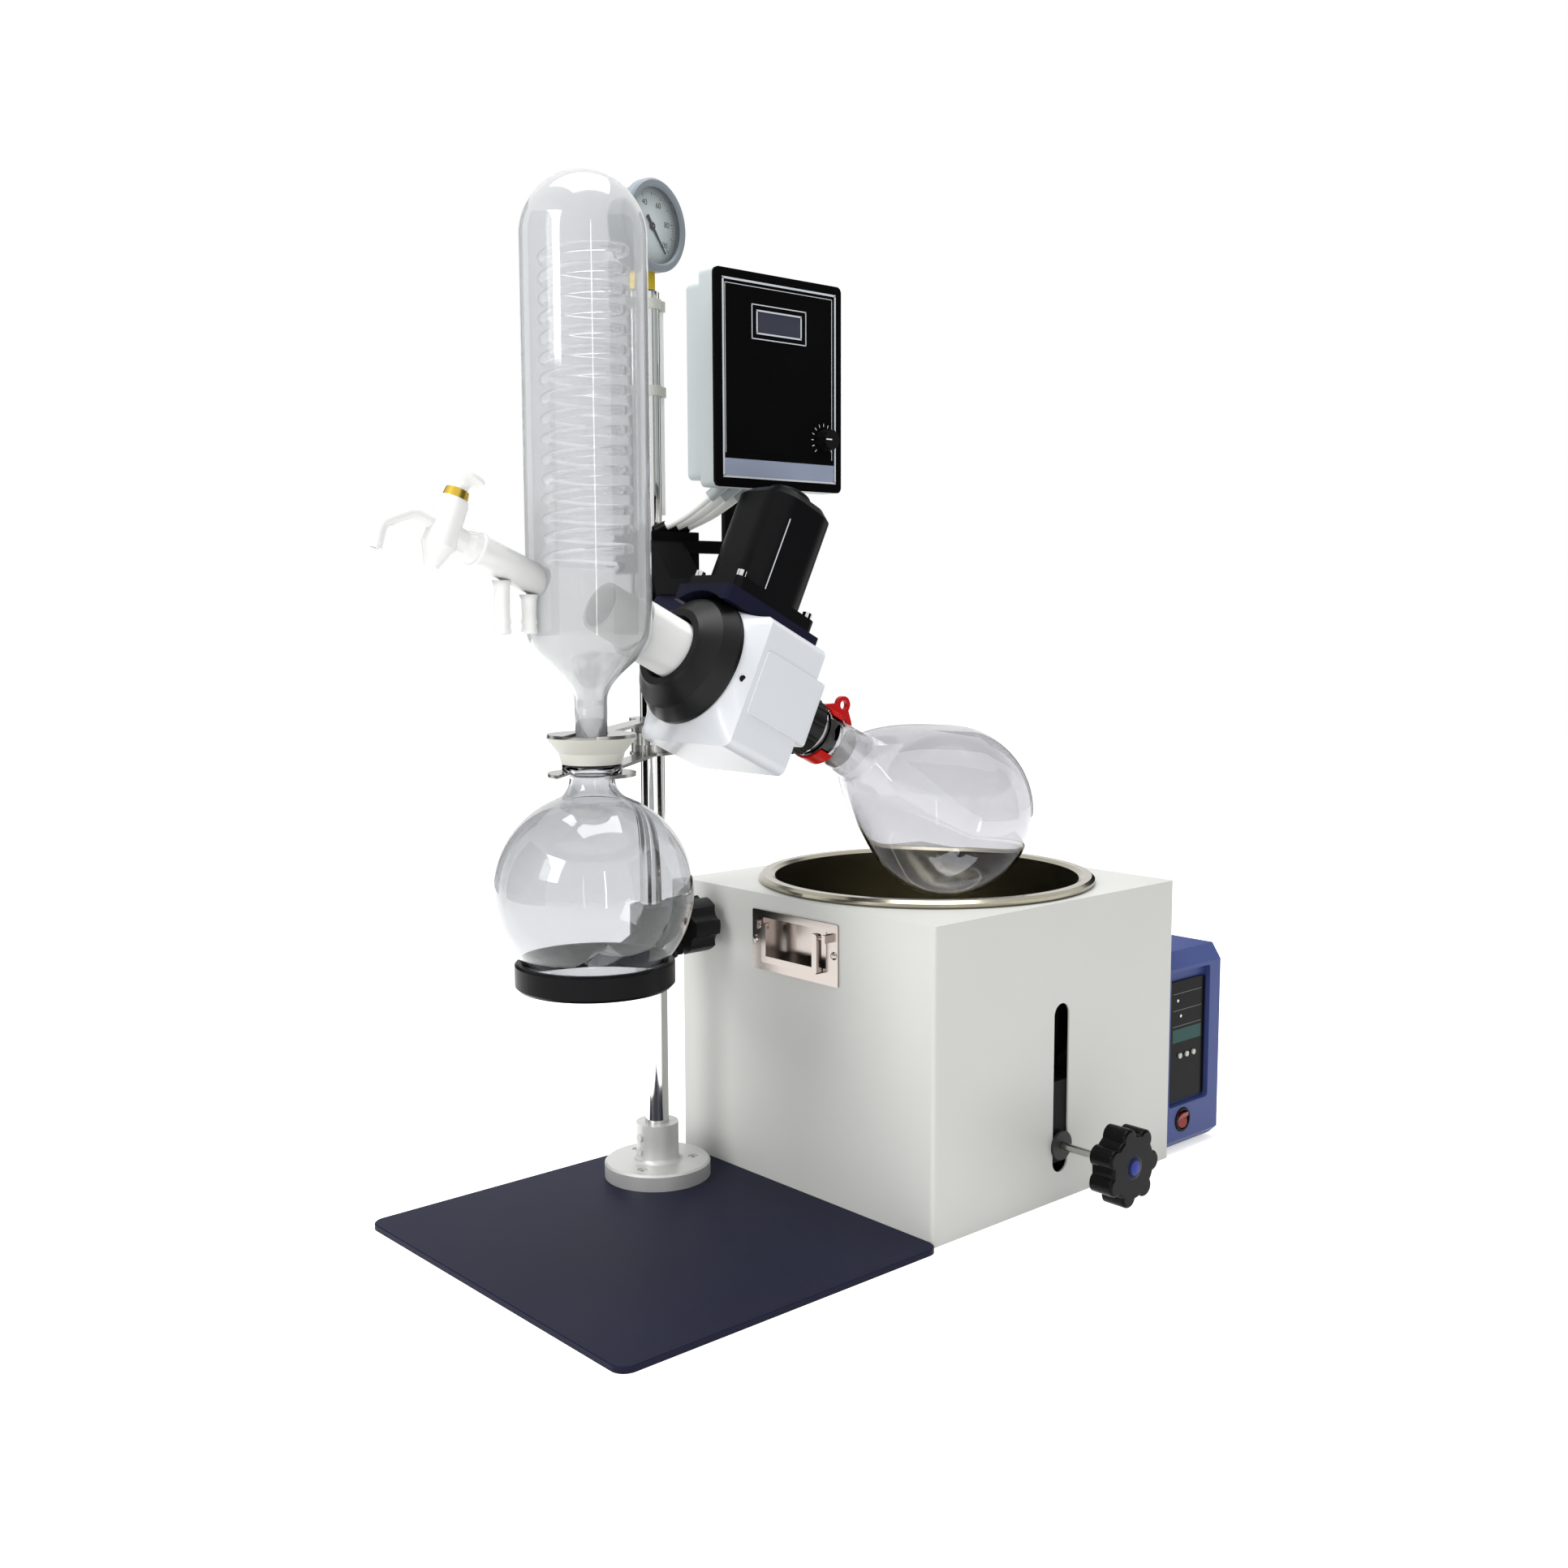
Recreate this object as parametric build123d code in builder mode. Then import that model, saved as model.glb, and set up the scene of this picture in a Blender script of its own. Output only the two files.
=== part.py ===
"""Rotary evaporator: a column stand with a tilted drive head, upright coil condenser,
receiving flask, evaporating flask, and a lifting heating bath beside it.

Millimetres, +Z up. The origin is the column's axis on the table. +X runs from the stand
to the bath, and -Y is the operator's side.
"""
from build123d import *
import os
from math import asin, cos, degrees, pi, radians, sin, sqrt, tan

os.makedirs("parts", exist_ok=True)

# Clearances
fit_gap = 0.05          # shaft in its bore, tube in its collar, glass in its seat
free_gap = 0.3          # between pieces that move past each other

# Base plate and column
plate_length = 370.0
plate_width = 420.0
plate_thick = 6.0
plate_corner = 14.0
plate_front = -336.0
flange_r = 56.0
flange_thick = 17.0
hub_r = 22.5
hub_top = 64.0
hub_fillet = 5.0
column_r = 12.5
column_wall = 2.5
column_top = 922.0
base_screw_circle_r = 38.0
base_screw_angle = 208.0
base_screw_count = 3
screw_head_r = 5.0
screw_shank_r = 3.0
set_screw_r = 4.0
set_screw_levels = (35.0, 50.0)

# Heating bath
bath_left = 78.0
tub_r = 165.0
bath_side = 2 * tub_r + 50.0
bath_mid_y = -136.0
bath_front = bath_mid_y - bath_side / 2
bath_height = 310.0
bath_wall = 2.0
bath_corner = 4.0
tub_wall = 2.0
tub_floor = 133.0
tub_floor_corner = 18.0
rim_r = tub_r + 17.0
rim_height = 8.0
tub_hole_gap = 1.5
heater_r = tub_r - 45.0
heater_thick = 8.0
carriage_thick = 4.0
carriage_r = tub_r - 25.0
lift_travel = 100.0
rod_r = 6.0
rod_offset = tub_r - 13.0
bush_r = 11.0
bush_length = 30.0
slot_width = 24.0
slot_low = 29.6
slot_high = 206.0
spindle_r = 4.0
spindle_z = 58.0
guide_strip_width = 50.0
guide_strip_thick = 6.0
knob_r = 40.0
knob_thick = 26.0
knob_front = -92.0      # measured from the bath's front face
knob_lobes = 7
knob_hub_r = 13.0
cap_r = 12.0

# Carrying handles, set into both sides of the bath
tray_width = 129.0
tray_height = 63.0
tray_top = 293.0
tray_thick = 2.0
cup_width = 98.0
cup_height = 42.0
cup_depth = 13.0
cup_wall = 1.5
bail_rod_r = 3.5
bail_width = 84.0
bail_drop = 34.0
bail_pin_r = 2.0

# Bath controller
ctrl_width = 102.0
ctrl_depth = 176.0
ctrl_bottom = 4.0
ctrl_height = 222.0
ctrl_setback = 3.0
ctrl_corner = 8.0
ctrl_hood = 34.0
ctrl_panel_x = 8.0
ctrl_panel_z = 57.0
ctrl_panel_width = 68.0
ctrl_panel_height = 136.0
ctrl_panel_sink = 5.0
button_r = 3.0
button_travel = 1.0
button_pitch = 13.0
button_z = 108.0
switch_x = 30.0
switch_z = 36.0
switch_r = 14.0
rocker_r = 10.5
rocker_play = 1.0       # room for the rocker's back to swing
rocker_pin_r = 1.0

# Glass line: condenser, joint and receiving flask on one upright axis
glass_x = -171.0
glass_y = bath_mid_y
glass_wall = 2.5
cone_foot = 466.0
cone_top = cone_foot + 24.0
neck_r = 14.5
neck_low = cone_foot + 8.0
neck_high = cone_foot + 56.0
jacket_r = 56.0
jacket_low = neck_high + 63.0
jacket_high = jacket_low + 341.0
coil_r = 36.0
coil_tube_r = 4.5
coil_low = jacket_low + 57.0
coil_pitch = 17.2
coil_turns = 16
receiver_r = 91.0
receiver_z = cone_foot - 117.0
receiver_neck_r = 20.5
receiver_flange_r = 27.0
receiver_flange_thick = 8.0
cone_top_r = 41.0
clamp_plate_thick = 3.0
clamp_end_r = 40.0
clamp_bar_half = 10.0
clamp_block_r = 24.0
lever_pin_r = 3.0
lever_length = 40.0

# Support ring under the receiving flask
ring_r = 73.0
ring_bore_r = 64.0
ring_height = 24.0
ring_top = receiver_z - 63.0
ring_arm_width = 14.0
ring_arm_height = 14.0
ring_clamp_r = 24.0
ring_clamp_height = 54.0
ring_knob_r = 30.0
ring_knob_thick = 34.0
ring_screw_r = 4.0

# Drive head: distances run along the tilted shaft from the condenser's axis
shaft_tilt = 26.0
crossing_z = jacket_low + 28.0
shaft_r = 17.0
shaft_bore_r = 13.0
shaft_start = 133.0
port_r = 28.0
port_end = 129.0
port_flange_r = 33.5
duct_r = 24.0
duct_bore_r = 20.0
duct_start = 14.0
nut_front = 99.0
nut_back = 133.5
nut_front_r = 42.0
nut_back_r = 64.0
boss_start = 134.0
boss_r = 62.0
block_start = 152.0
block_end = 226.0
band_end = 238.0
block_top = 56.0
block_bottom = -75.0
block_half_depth = 68.0
block_corner = 9.0
band_top = 26.0
band_bottom = -40.0
block_wall = 9.0
cavity_start = 150.5
cavity_end = 211.0
bearing_r = 27.0
bearing_width = 12.0
front_bearing = 137.0
rear_bearing = 224.0
motor_station = 172.0
gear_module = 3.0
gear_teeth = 24
pinion_teeth = 12
tooth_face = 12.0
backlash = 1.1
pull_nut_start = 240.0
pull_nut_end = 292.0
pull_nut_r = 31.0
joint_start = 298.0
joint_end = 344.0
joint_big_r = 21.0
joint_small_r = 18.5
flask_r = 94.4
flask_station = 525.6
flask_neck_r = 25.0
flask_mouth = 300.0
clip_start = 301.0
clip_length = 17.0

# Motor, standing on the head plate
plate_front_s = 112.0
plate_back_s = 236.0
head_plate_thick = 16.0
head_plate_half = 40.0
tongue_width = 50.0
motor_flange_thick = 12.0
motor_half = 40.0
motor_corner = 26.0
motor_height = 106.0
motor_wall = 4.0
motor_cap_r = 22.0
motor_shaft_r = 6.0
rotor_r = 24.0
motor_bolt_r = 5.0
motor_bolt_spread = 46.0

# Head clamp on the column
collar_r = 26.0
collar_low = crossing_z + 27.0
collar_high = collar_low + 42.0
clamp_screw_levels = (collar_low + 11.0, collar_low + 31.0)
ear_half = 13.0
arm_half_width = 20.0
pad_front = -30.0
pad_right = 40.0

# Control box
box_left = 10.0
box_width = 170.0
box_low = collar_high + 42.0
box_height = 210.0
box_front = -94.0
box_step = 9.0
box_front_depth = 20.0
box_wall = 3.0
box_corner = 6.0
bezel_thick = 3.0
bezel_border = 9.0
strip_height = 22.0
lcd_x = 47.0
lcd_z = 149.0
lcd_width = 73.0
lcd_height = 27.0
speed_knob_x = 145.0
speed_knob_z = 53.0
speed_knob_r = 11.0
speed_pin_r = 3.0
post_thick = 5.8
post_width = 40.0
post_bar_z = collar_low + 27.0
post_bar_height = 13.0
post_top = box_low + 136.0
lead_r = 4.4
lead_count = 3
lead_top_x = 30.0
lead_top_y = -60.0
lead_top_z = box_low - 8.0
lead_top_pitch = 17.0
lead_foot_x = 3.0
lead_foot_y = -24.0
lead_foot_pitch = 14.0
lead_sag = 2.5
gland_height = 6.0
gland_reach = 26.0

# Vacuum gauge and its tube
gauge_r = 45.0
gauge_depth = 32.0
gauge_z = column_top + 62.0
gauge_turn = 13.0       # the dial looks a little to the bath's side
gauge_lip_r = 36.7
gauge_cup_r = 39.5
dial_sink = 9.0
needle_pin_r = 1.0
needle_length = 31.0
needle_rest = 50.0
fitting_r = 9.0
pipe_r = 3.5
pipe_low = column_top - 222.0
pipe_high = column_top - 17.0
pipe_clip_z = column_top - 104.0
clip_height = 10.0

# Feed valve on the condenser's left
feed_tilt = 23.0
feed_z = jacket_low + 21.0
feed_r = 10.8
feed_joint_r = 14.0
barrel_station = 158.0
barrel_r = 14.5
barrel_low = -26.0
barrel_high = 30.0
plug_r = 8.0
plug_knob_r = 19.0
spout_r = 6.0
nipple_r = 6.7
nipple_bore_r = 4.7
nipple_end_z = feed_z - 23.0

# Places worked out from the sizes above
bath_x = bath_left + bath_side / 2
bath_y = bath_front + bath_side / 2
bath_right = bath_left + bath_side
tub_axis = (bath_x, bath_y)
shaft_dir = Vector(cos(radians(shaft_tilt)), 0, -sin(radians(shaft_tilt)))
shaft_up = Vector(sin(radians(shaft_tilt)), 0, cos(radians(shaft_tilt)))
crossing = Vector(glass_x, glass_y, crossing_z)
feed_dir = Vector(-cos(radians(feed_tilt)), 0, sin(radians(feed_tilt)))
feed_up = Vector(sin(radians(feed_tilt)), 0, cos(radians(feed_tilt)))
feed_root = Vector(glass_x, glass_y, feed_z)
head_plate_low = block_top
head_plate_top = head_plate_low + head_plate_thick
motor_low = head_plate_top + motor_flange_thick
to_joint = Vector(glass_x, glass_y, 0).normalized()
joint_reach = sqrt(glass_x ** 2 + glass_y ** 2)
joint_angle = degrees(asin(to_joint.Y)) if to_joint.X > 0 else 180 - degrees(asin(to_joint.Y))

# Working planes. On a side plane, x runs along the axis and y away from it.
shaft_side = Plane(origin=crossing, x_dir=shaft_dir, z_dir=(0, -1, 0))
feed_side = Plane(origin=feed_root, x_dir=feed_dir, z_dir=(0, 1, 0))
glass_side = Plane(origin=(glass_x, glass_y, 0), x_dir=(0, 0, 1), z_dir=(0, -1, 0))
column_side = Plane(origin=(0, 0, 0), x_dir=(0, 0, 1), z_dir=(0, -1, 0))
tub_side = Plane(origin=(bath_x, bath_y, 0), x_dir=(0, 0, 1), z_dir=(0, -1, 0))


def along(station, height=0.0, side=0.0):
    """Return the point at a distance along the shaft, up from it and across it."""
    return crossing + shaft_dir * station + shaft_up * height + Vector(0, side, 0)


def across_shaft(station):
    """Return the plane that crosses the shaft squarely, x across it and y up."""
    return Plane(origin=along(station), x_dir=(0, 1, 0), z_dir=shaft_dir)


def on_head(height):
    """Return the plane square to the motor's axis at a height above the shaft."""
    return Plane(origin=along(motor_station, height), x_dir=shaft_dir, z_dir=shaft_up)


def turn(plane, *outline, mode=Mode.ADD):
    """Spin a closed outline of (distance, radius) points about the plane's x axis."""
    with BuildSketch(plane) as face:
        with BuildLine():
            Polyline(*outline, close=True)
        make_face()
    revolve(face.sketch, axis=Axis(plane.origin, plane.x_dir), mode=mode)


def rod(start, end, radius, mode=Mode.ADD):
    """Lay a round bar of one radius from a start point to an end point."""
    run = Vector(*end) - Vector(*start)
    with BuildSketch(Plane(origin=start, z_dir=run)) as face:
        Circle(radius)
    extrude(face.sketch, amount=run.length, mode=mode)


def cord_radii(points):
    """Return a bend radius for each inner point: 0.45 of the shorter run by the half turn."""
    spots = [Vector(*p) for p in points]
    radii = []
    for before, here, after in zip(spots, spots[1:], spots[2:]):
        turn_angle = (here - before).get_angle(after - here)
        run = min((here - before).length, (after - here).length)
        radii.append(0.45 * run / tan(radians(turn_angle) / 2))
    return radii


# Base plate: a steel sheet with rounded corners, level with the bath's underside
with BuildPart() as base_plate:
    with BuildSketch():
        with Locations((bath_left - plate_length / 2, plate_front + plate_width / 2)):
            RectangleRounded(plate_length, plate_width, plate_corner)
    extrude(amount=plate_thick)
    chamfer(base_plate.faces().sort_by(Axis.Z)[-1].edges(), 0.8)

# Column flange: a turned disc and hub that hold the column, with counterbored screw holes
with BuildPart() as column_flange:
    with BuildSketch(Plane.XY.offset(plate_thick)):
        Circle(flange_r)
    extrude(amount=flange_thick)
    chamfer(column_flange.faces().sort_by(Axis.Z)[-1].edges(), 2)
    with BuildSketch(Plane.XY.offset(plate_thick + flange_thick)):
        Circle(hub_r)
    extrude(amount=hub_top - plate_thick - flange_thick)
    fillet(column_flange.edges().filter_by(GeomType.CIRCLE).filter_by(
        lambda e: abs(e.radius - hub_r) < 0.01).sort_by(Axis.Z)[0], hub_fillet)
    with Locations((0, 0, plate_thick + flange_thick)):
        with PolarLocations(base_screw_circle_r, base_screw_count, start_angle=base_screw_angle):
            CounterBoreHole(screw_shank_r + fit_gap, screw_head_r + free_gap, 7, flange_thick)
    with BuildSketch(Plane.XY.offset(plate_thick)):
        Circle(column_r + fit_gap)
    extrude(amount=hub_top, mode=Mode.SUBTRACT)
    for set_screw_z in set_screw_levels:
        rod((-hub_r - 1, 0, set_screw_z), (-column_r, 0, set_screw_z), set_screw_r + fit_gap,
            mode=Mode.SUBTRACT)

# Base screws: socket heads sunk in the flange, and two set screws that bear on the column
with BuildPart() as base_screws:
    with PolarLocations(base_screw_circle_r, base_screw_count, start_angle=base_screw_angle):
        with Locations((0, 0, plate_thick)):
            Cylinder(screw_shank_r, flange_thick - 7, align=(Align.CENTER, Align.CENTER, Align.MIN))
        with Locations((0, 0, plate_thick + flange_thick - 7)):
            Cylinder(screw_head_r, 6, align=(Align.CENTER, Align.CENTER, Align.MIN))
    for place in PolarLocations(base_screw_circle_r, base_screw_count, start_angle=base_screw_angle):
        with BuildSketch(Plane.XY.offset(plate_thick + flange_thick - 1)):
            with Locations((place.position.X, place.position.Y)):
                RegularPolygon(2.6, 6)
        extrude(amount=-3, mode=Mode.SUBTRACT)
    for set_screw_z in set_screw_levels:
        rod((-hub_r - 2, 0, set_screw_z), (-column_r - fit_gap, 0, set_screw_z), set_screw_r)

# Column: a chromed tube closed by a turned top that takes the gauge fitting
with BuildPart() as column:
    turn(column_side, (plate_thick, column_r - column_wall), (plate_thick, column_r),
         (column_top - 2, column_r), (column_top, column_r - 2), (column_top, 4),
         (column_top - 14, 4), (column_top - 14, column_r - column_wall))

# Gauge fitting: a brass hexagon with a spigot at each end
with BuildPart() as gauge_fitting:
    with BuildSketch(Plane.XY.offset(column_top)):
        RegularPolygon(fitting_r, 6)
    extrude(amount=gauge_z - gauge_r - column_top)
    with BuildSketch(Plane.XY.offset(column_top)):
        Circle(4 - fit_gap)
    extrude(amount=-10)

# Gauge case: a turned cup with a deep bezel, its dial and needle pin inside, on the fitting
facing = Vector(sin(radians(gauge_turn)), -cos(radians(gauge_turn)), 0)
gauge_plane = Plane(origin=Vector(0, 0, gauge_z) - facing * gauge_depth / 2, x_dir=facing,
                    z_dir=Vector(0, 0, 1).cross(facing))
dial_face = gauge_depth - dial_sink
with BuildPart() as gauge_case:
    turn(gauge_plane, (0, 0), (0, gauge_r - 10), (4, gauge_r - 5), (gauge_depth - 12, gauge_r - 4),
         (gauge_depth - 10, gauge_r), (gauge_depth - 2, gauge_r), (gauge_depth, gauge_r - 2),
         (gauge_depth, gauge_lip_r + 2), (gauge_depth - 2, gauge_lip_r),
         (gauge_depth - 3, gauge_lip_r), (gauge_depth - 3, gauge_cup_r), (dial_face, gauge_cup_r),
         (dial_face, needle_pin_r), (gauge_depth - 6, needle_pin_r), (gauge_depth - 6, 0))
    with BuildSketch(Plane.XY.offset(gauge_z - gauge_r)):
        Circle(fitting_r - 2)
    extrude(until=Until.NEXT)

# Gauge needle: a tapered pointer and tail on a hub
needle_down = radians(needle_rest)
needle_dir = facing.cross(Vector(0, 0, 1)) * -cos(needle_down) - Vector(0, 0, 1) * sin(needle_down)
needle_plane = Plane(origin=gauge_plane.origin + facing * (dial_face + 1), x_dir=needle_dir,
                     z_dir=facing)
with BuildPart() as gauge_needle:
    with BuildSketch(needle_plane):
        with BuildLine():
            Polyline((-12, -2), (-12, 2), (0, 1.4), (needle_length, 0.4), (needle_length, -0.4),
                     (0, -1.4), close=True)
        make_face()
        Circle(4)
        Circle(needle_pin_r + fit_gap, mode=Mode.SUBTRACT)
    extrude(amount=1)

# Gauge window: a flat glass behind the lip
with BuildPart() as gauge_window:
    turn(gauge_plane, (gauge_depth - 5, 0), (gauge_depth - 5, gauge_cup_r - fit_gap),
         (gauge_depth - 3, gauge_cup_r - fit_gap), (gauge_depth - 3, 0))

# Vacuum pipe: it runs straight down the column's side
pipe_x = column_r + pipe_r + fit_gap
with BuildPart() as vacuum_pipe:
    rod((pipe_x, 0, pipe_low), (pipe_x, 0, pipe_high), pipe_r)

# Pipe clips: two bands that hold the pipe to the column
with BuildPart() as pipe_clips:
    for clip_z in (pipe_high - 2, pipe_clip_z):
        with BuildSketch(Plane.XY.offset(clip_z)):
            Circle(column_r + 2)
            with Locations((pipe_x, 0)):
                Circle(pipe_r + 2)
            Circle(column_r + fit_gap, mode=Mode.SUBTRACT)
            with Locations((pipe_x, 0)):
                Circle(pipe_r + fit_gap, mode=Mode.SUBTRACT)
        extrude(amount=clip_height)

# Leads: three run from the control box down to a gland on the head clamp's pad
lead_routes = []
for number in range(lead_count):
    top = Vector(lead_top_x + lead_top_pitch * number, lead_top_y, lead_top_z)
    foot = Vector(lead_foot_x + lead_foot_pitch * number, lead_foot_y, collar_high + gland_height)
    third = (foot - top) * (1 / 3)
    sag = Vector(0, 0, -lead_sag)
    lead_routes.append([top, top + third + sag, foot - third + sag, foot])

# Head clamp: a split collar, a pad with the lead gland, and an arm down to the head plate
head_plate_plane = on_head(head_plate_top)
tongue_front = glass_y + head_plate_half + 3
with BuildPart() as head_clamp:
    with BuildSketch(Plane.XY.offset(collar_low)):
        Circle(collar_r)
        with Locations(((pad_right - arm_half_width) / 2, pad_front / 2)):
            Rectangle(pad_right + arm_half_width, -pad_front)
        with Locations((0, collar_r)):
            Rectangle(2 * ear_half, 22)
    extrude(amount=collar_high - collar_low)
    with BuildSketch(Plane.YZ.offset(-arm_half_width)):
        with BuildLine():
            Polyline((-20, collar_low), (-20, collar_high - 10), (pad_front, collar_high - 10),
                     (pad_front - 30, collar_low - 6), (tongue_front, collar_low - 6),
                     (tongue_front, collar_low - 80), (pad_front - 22, collar_low - 80),
                     (pad_front, collar_low), close=True)
        make_face()
    extrude(amount=2 * arm_half_width)
    split(bisect_by=head_plate_plane, keep=Keep.TOP)
    for route in lead_routes:
        last_run = (route[-2] - route[-1]).normalized()
        rod(route[-1] - last_run * (gland_height + 6), route[-1], lead_r + 1)
    with BuildSketch(Plane.XY.offset(collar_low - 60)):
        Circle(column_r + fit_gap)
        with Locations((0, collar_r)):
            Rectangle(3, 2 * collar_r)
    extrude(amount=140, mode=Mode.SUBTRACT)
    for screw_z in clamp_screw_levels:
        rod((-20, collar_r + 4, screw_z), (20, collar_r + 4, screw_z), 3 + fit_gap,
            mode=Mode.SUBTRACT)

# Head screws: two that close the split collar, and four that hold the motor's flange down
with BuildPart() as head_screws:
    for screw_z in clamp_screw_levels:
        rod((-ear_half - 5, collar_r + 4, screw_z), (-ear_half, collar_r + 4, screw_z), 5)
        rod((-ear_half, collar_r + 4, screw_z), (ear_half, collar_r + 4, screw_z), 3)
    with BuildSketch(on_head(motor_low)):
        with GridLocations(2 * motor_bolt_spread, 2 * motor_half - 18, 2, 2):
            Circle(motor_bolt_r)
    extrude(amount=7)
    with BuildSketch(on_head(head_plate_top)):
        with GridLocations(2 * motor_bolt_spread, 2 * motor_half - 18, 2, 2):
            Circle(3)
    extrude(amount=motor_flange_thick)

# Head plate: the tilted steel plate under the motor, with a tongue back to the clamp
with BuildPart() as head_plate:
    with BuildSketch(on_head(head_plate_low)):
        middle = (plate_front_s + plate_back_s) / 2 - motor_station
        with Locations((middle, 0)):
            RectangleRounded(plate_back_s - plate_front_s, 2 * head_plate_half, 4)
        tongue_s = (-glass_x - head_plate_low * shaft_up.X) / shaft_dir.X - motor_station
        tongue_reach = -glass_y - collar_r - 1 - head_plate_half + 10
        with Locations((tongue_s, head_plate_half - 10 + tongue_reach / 2)):
            RectangleRounded(tongue_width, tongue_reach, 4)
        Circle(motor_shaft_r + free_gap, mode=Mode.SUBTRACT)
    extrude(amount=head_plate_thick)
    rod(along(plate_front_s - 10), along(block_start), nut_back_r + free_gap, mode=Mode.SUBTRACT)

# Gearbox: a cast housing whose round nose blends into a square block with a proud middle band
block_mid = (block_top + block_bottom) / 2
block_tall = block_top - block_bottom
with BuildPart() as gearbox:
    with BuildSketch(across_shaft(boss_start)):
        Circle(boss_r)
    with BuildSketch(across_shaft(block_start)):
        with Locations((0, block_mid)):
            RectangleRounded(2 * block_half_depth, block_tall, block_corner)
    loft()
    with BuildSketch(across_shaft(block_start)):
        with Locations((0, block_mid)):
            RectangleRounded(2 * block_half_depth, block_tall, block_corner)
    extrude(amount=block_end - block_start)
    with BuildSketch(across_shaft(block_end)):
        with Locations((0, (band_top + band_bottom) / 2)):
            RectangleRounded(2 * block_half_depth, band_top - band_bottom, 4)
    extrude(amount=band_end - block_end)
    with BuildSketch(across_shaft(cavity_start)):
        with Locations((0, block_mid)):
            RectangleRounded(2 * (block_half_depth - block_wall), block_tall - 2 * block_wall, 4)
    extrude(amount=cavity_end - cavity_start, mode=Mode.SUBTRACT)
    rod(along(boss_start - 1), along(band_end + 1), shaft_r + 2, mode=Mode.SUBTRACT)
    for station in (front_bearing, rear_bearing):
        rod(along(station), along(station + bearing_width), bearing_r + fit_gap,
            mode=Mode.SUBTRACT)
    rod(along(boss_start - 1), along(front_bearing), bearing_r - 4, mode=Mode.SUBTRACT)
    rod(along(rear_bearing), along(band_end + 1), bearing_r + fit_gap, mode=Mode.SUBTRACT)
    rod(along(motor_station, block_top + 1), along(motor_station, 30), motor_shaft_r + free_gap,
        mode=Mode.SUBTRACT)
    with BuildSketch(Plane(origin=along(0, 0, -block_half_depth), x_dir=shaft_dir,
                           z_dir=(0, -1, 0))):
        with Locations(((block_start + 6 + band_end - 4) / 2, (band_top + band_bottom) / 2)):
            RectangleRounded(band_end - block_start - 10, band_top - band_bottom - 3, 3)
    extrude(amount=1.6)

# Bearings: two deep-groove rings between the housing and the hollow shaft
with BuildPart() as shaft_bearings:
    for station in (front_bearing, rear_bearing):
        turn(shaft_side, (station, shaft_r + fit_gap), (station, bearing_r),
             (station + bearing_width, bearing_r), (station + bearing_width, shaft_r + fit_gap))

# Ring nut: the big conical nut that draws the condenser's port against the gearbox
with BuildPart() as ring_nut:
    turn(shaft_side, (nut_front, port_r + 4), (nut_front, nut_front_r - 3),
         (nut_front + 3, nut_front_r), (nut_front + 15, 56), (nut_back - 4, nut_back_r),
         (nut_back, nut_back_r), (nut_back, 34), (port_end - 6, 34), (port_end - 6, 31),
         (nut_front + 8, 31))

# Vapour duct: a moulded tube into the condenser, its flange the seal at the port's end
with BuildPart() as vapour_duct:
    turn(shaft_side, (duct_start, duct_bore_r), (duct_start, duct_r - 0.5),
         (port_end, duct_r - 0.5), (port_end, port_flange_r), (nut_back, port_flange_r),
         (nut_back, duct_bore_r))

# Hollow shaft: it turns in the bearings, and its far end is the ground cone for the flask
with BuildPart() as hollow_shaft:
    turn(shaft_side, (shaft_start + 1, shaft_bore_r), (shaft_start + 1, shaft_r),
         (joint_start - 4, shaft_r), (joint_start, joint_big_r), (joint_end, joint_small_r),
         (joint_end, shaft_bore_r))

# Bevel gears: the pitch cones share a tip where the motor's axis meets the shaft's
gear_r = gear_module * gear_teeth / 2
pinion_r = gear_module * pinion_teeth / 2
cone_length = sqrt(gear_r ** 2 + pinion_r ** 2)
tooth_shrink = (cone_length - tooth_face) / cone_length
tooth_half = gear_module * pi / 4 - backlash / 2
tooth_tip = 0.7 * gear_module
tooth_root = 1.2 * gear_module
flank = tan(radians(20))
cone_tip = along(motor_station)
pitch_dir = (shaft_dir * pinion_r + shaft_up * gear_r).normalized()


def bevel_tooth(outward):
    """Build one straight bevel tooth on the shared pitch line, pointing outward."""
    ends = []
    for scale in (1.0, tooth_shrink):
        plane = Plane(origin=cone_tip + pitch_dir * (cone_length * scale), x_dir=(0, 1, 0),
                      z_dir=outward.cross(Vector(0, 1, 0)) * -1)
        with BuildSketch(plane) as profile:
            with BuildLine():
                Polyline(((-tooth_half - flank * tooth_root) * scale, -tooth_root * scale),
                         ((-tooth_half + flank * tooth_tip) * scale, tooth_tip * scale),
                         ((tooth_half - flank * tooth_tip) * scale, tooth_tip * scale),
                         ((tooth_half + flank * tooth_root) * scale, -tooth_root * scale),
                         close=True)
            make_face()
        ends.append(profile.sketch)
    loft(ends)


to_pinion = (shaft_up * pinion_r - shaft_dir * gear_r).normalized()
to_gear = to_pinion * -1
with BuildPart(mode=Mode.PRIVATE) as gear_tooth:
    bevel_tooth(to_pinion)
with BuildPart(mode=Mode.PRIVATE) as pinion_tooth:
    bevel_tooth(to_gear)

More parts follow.
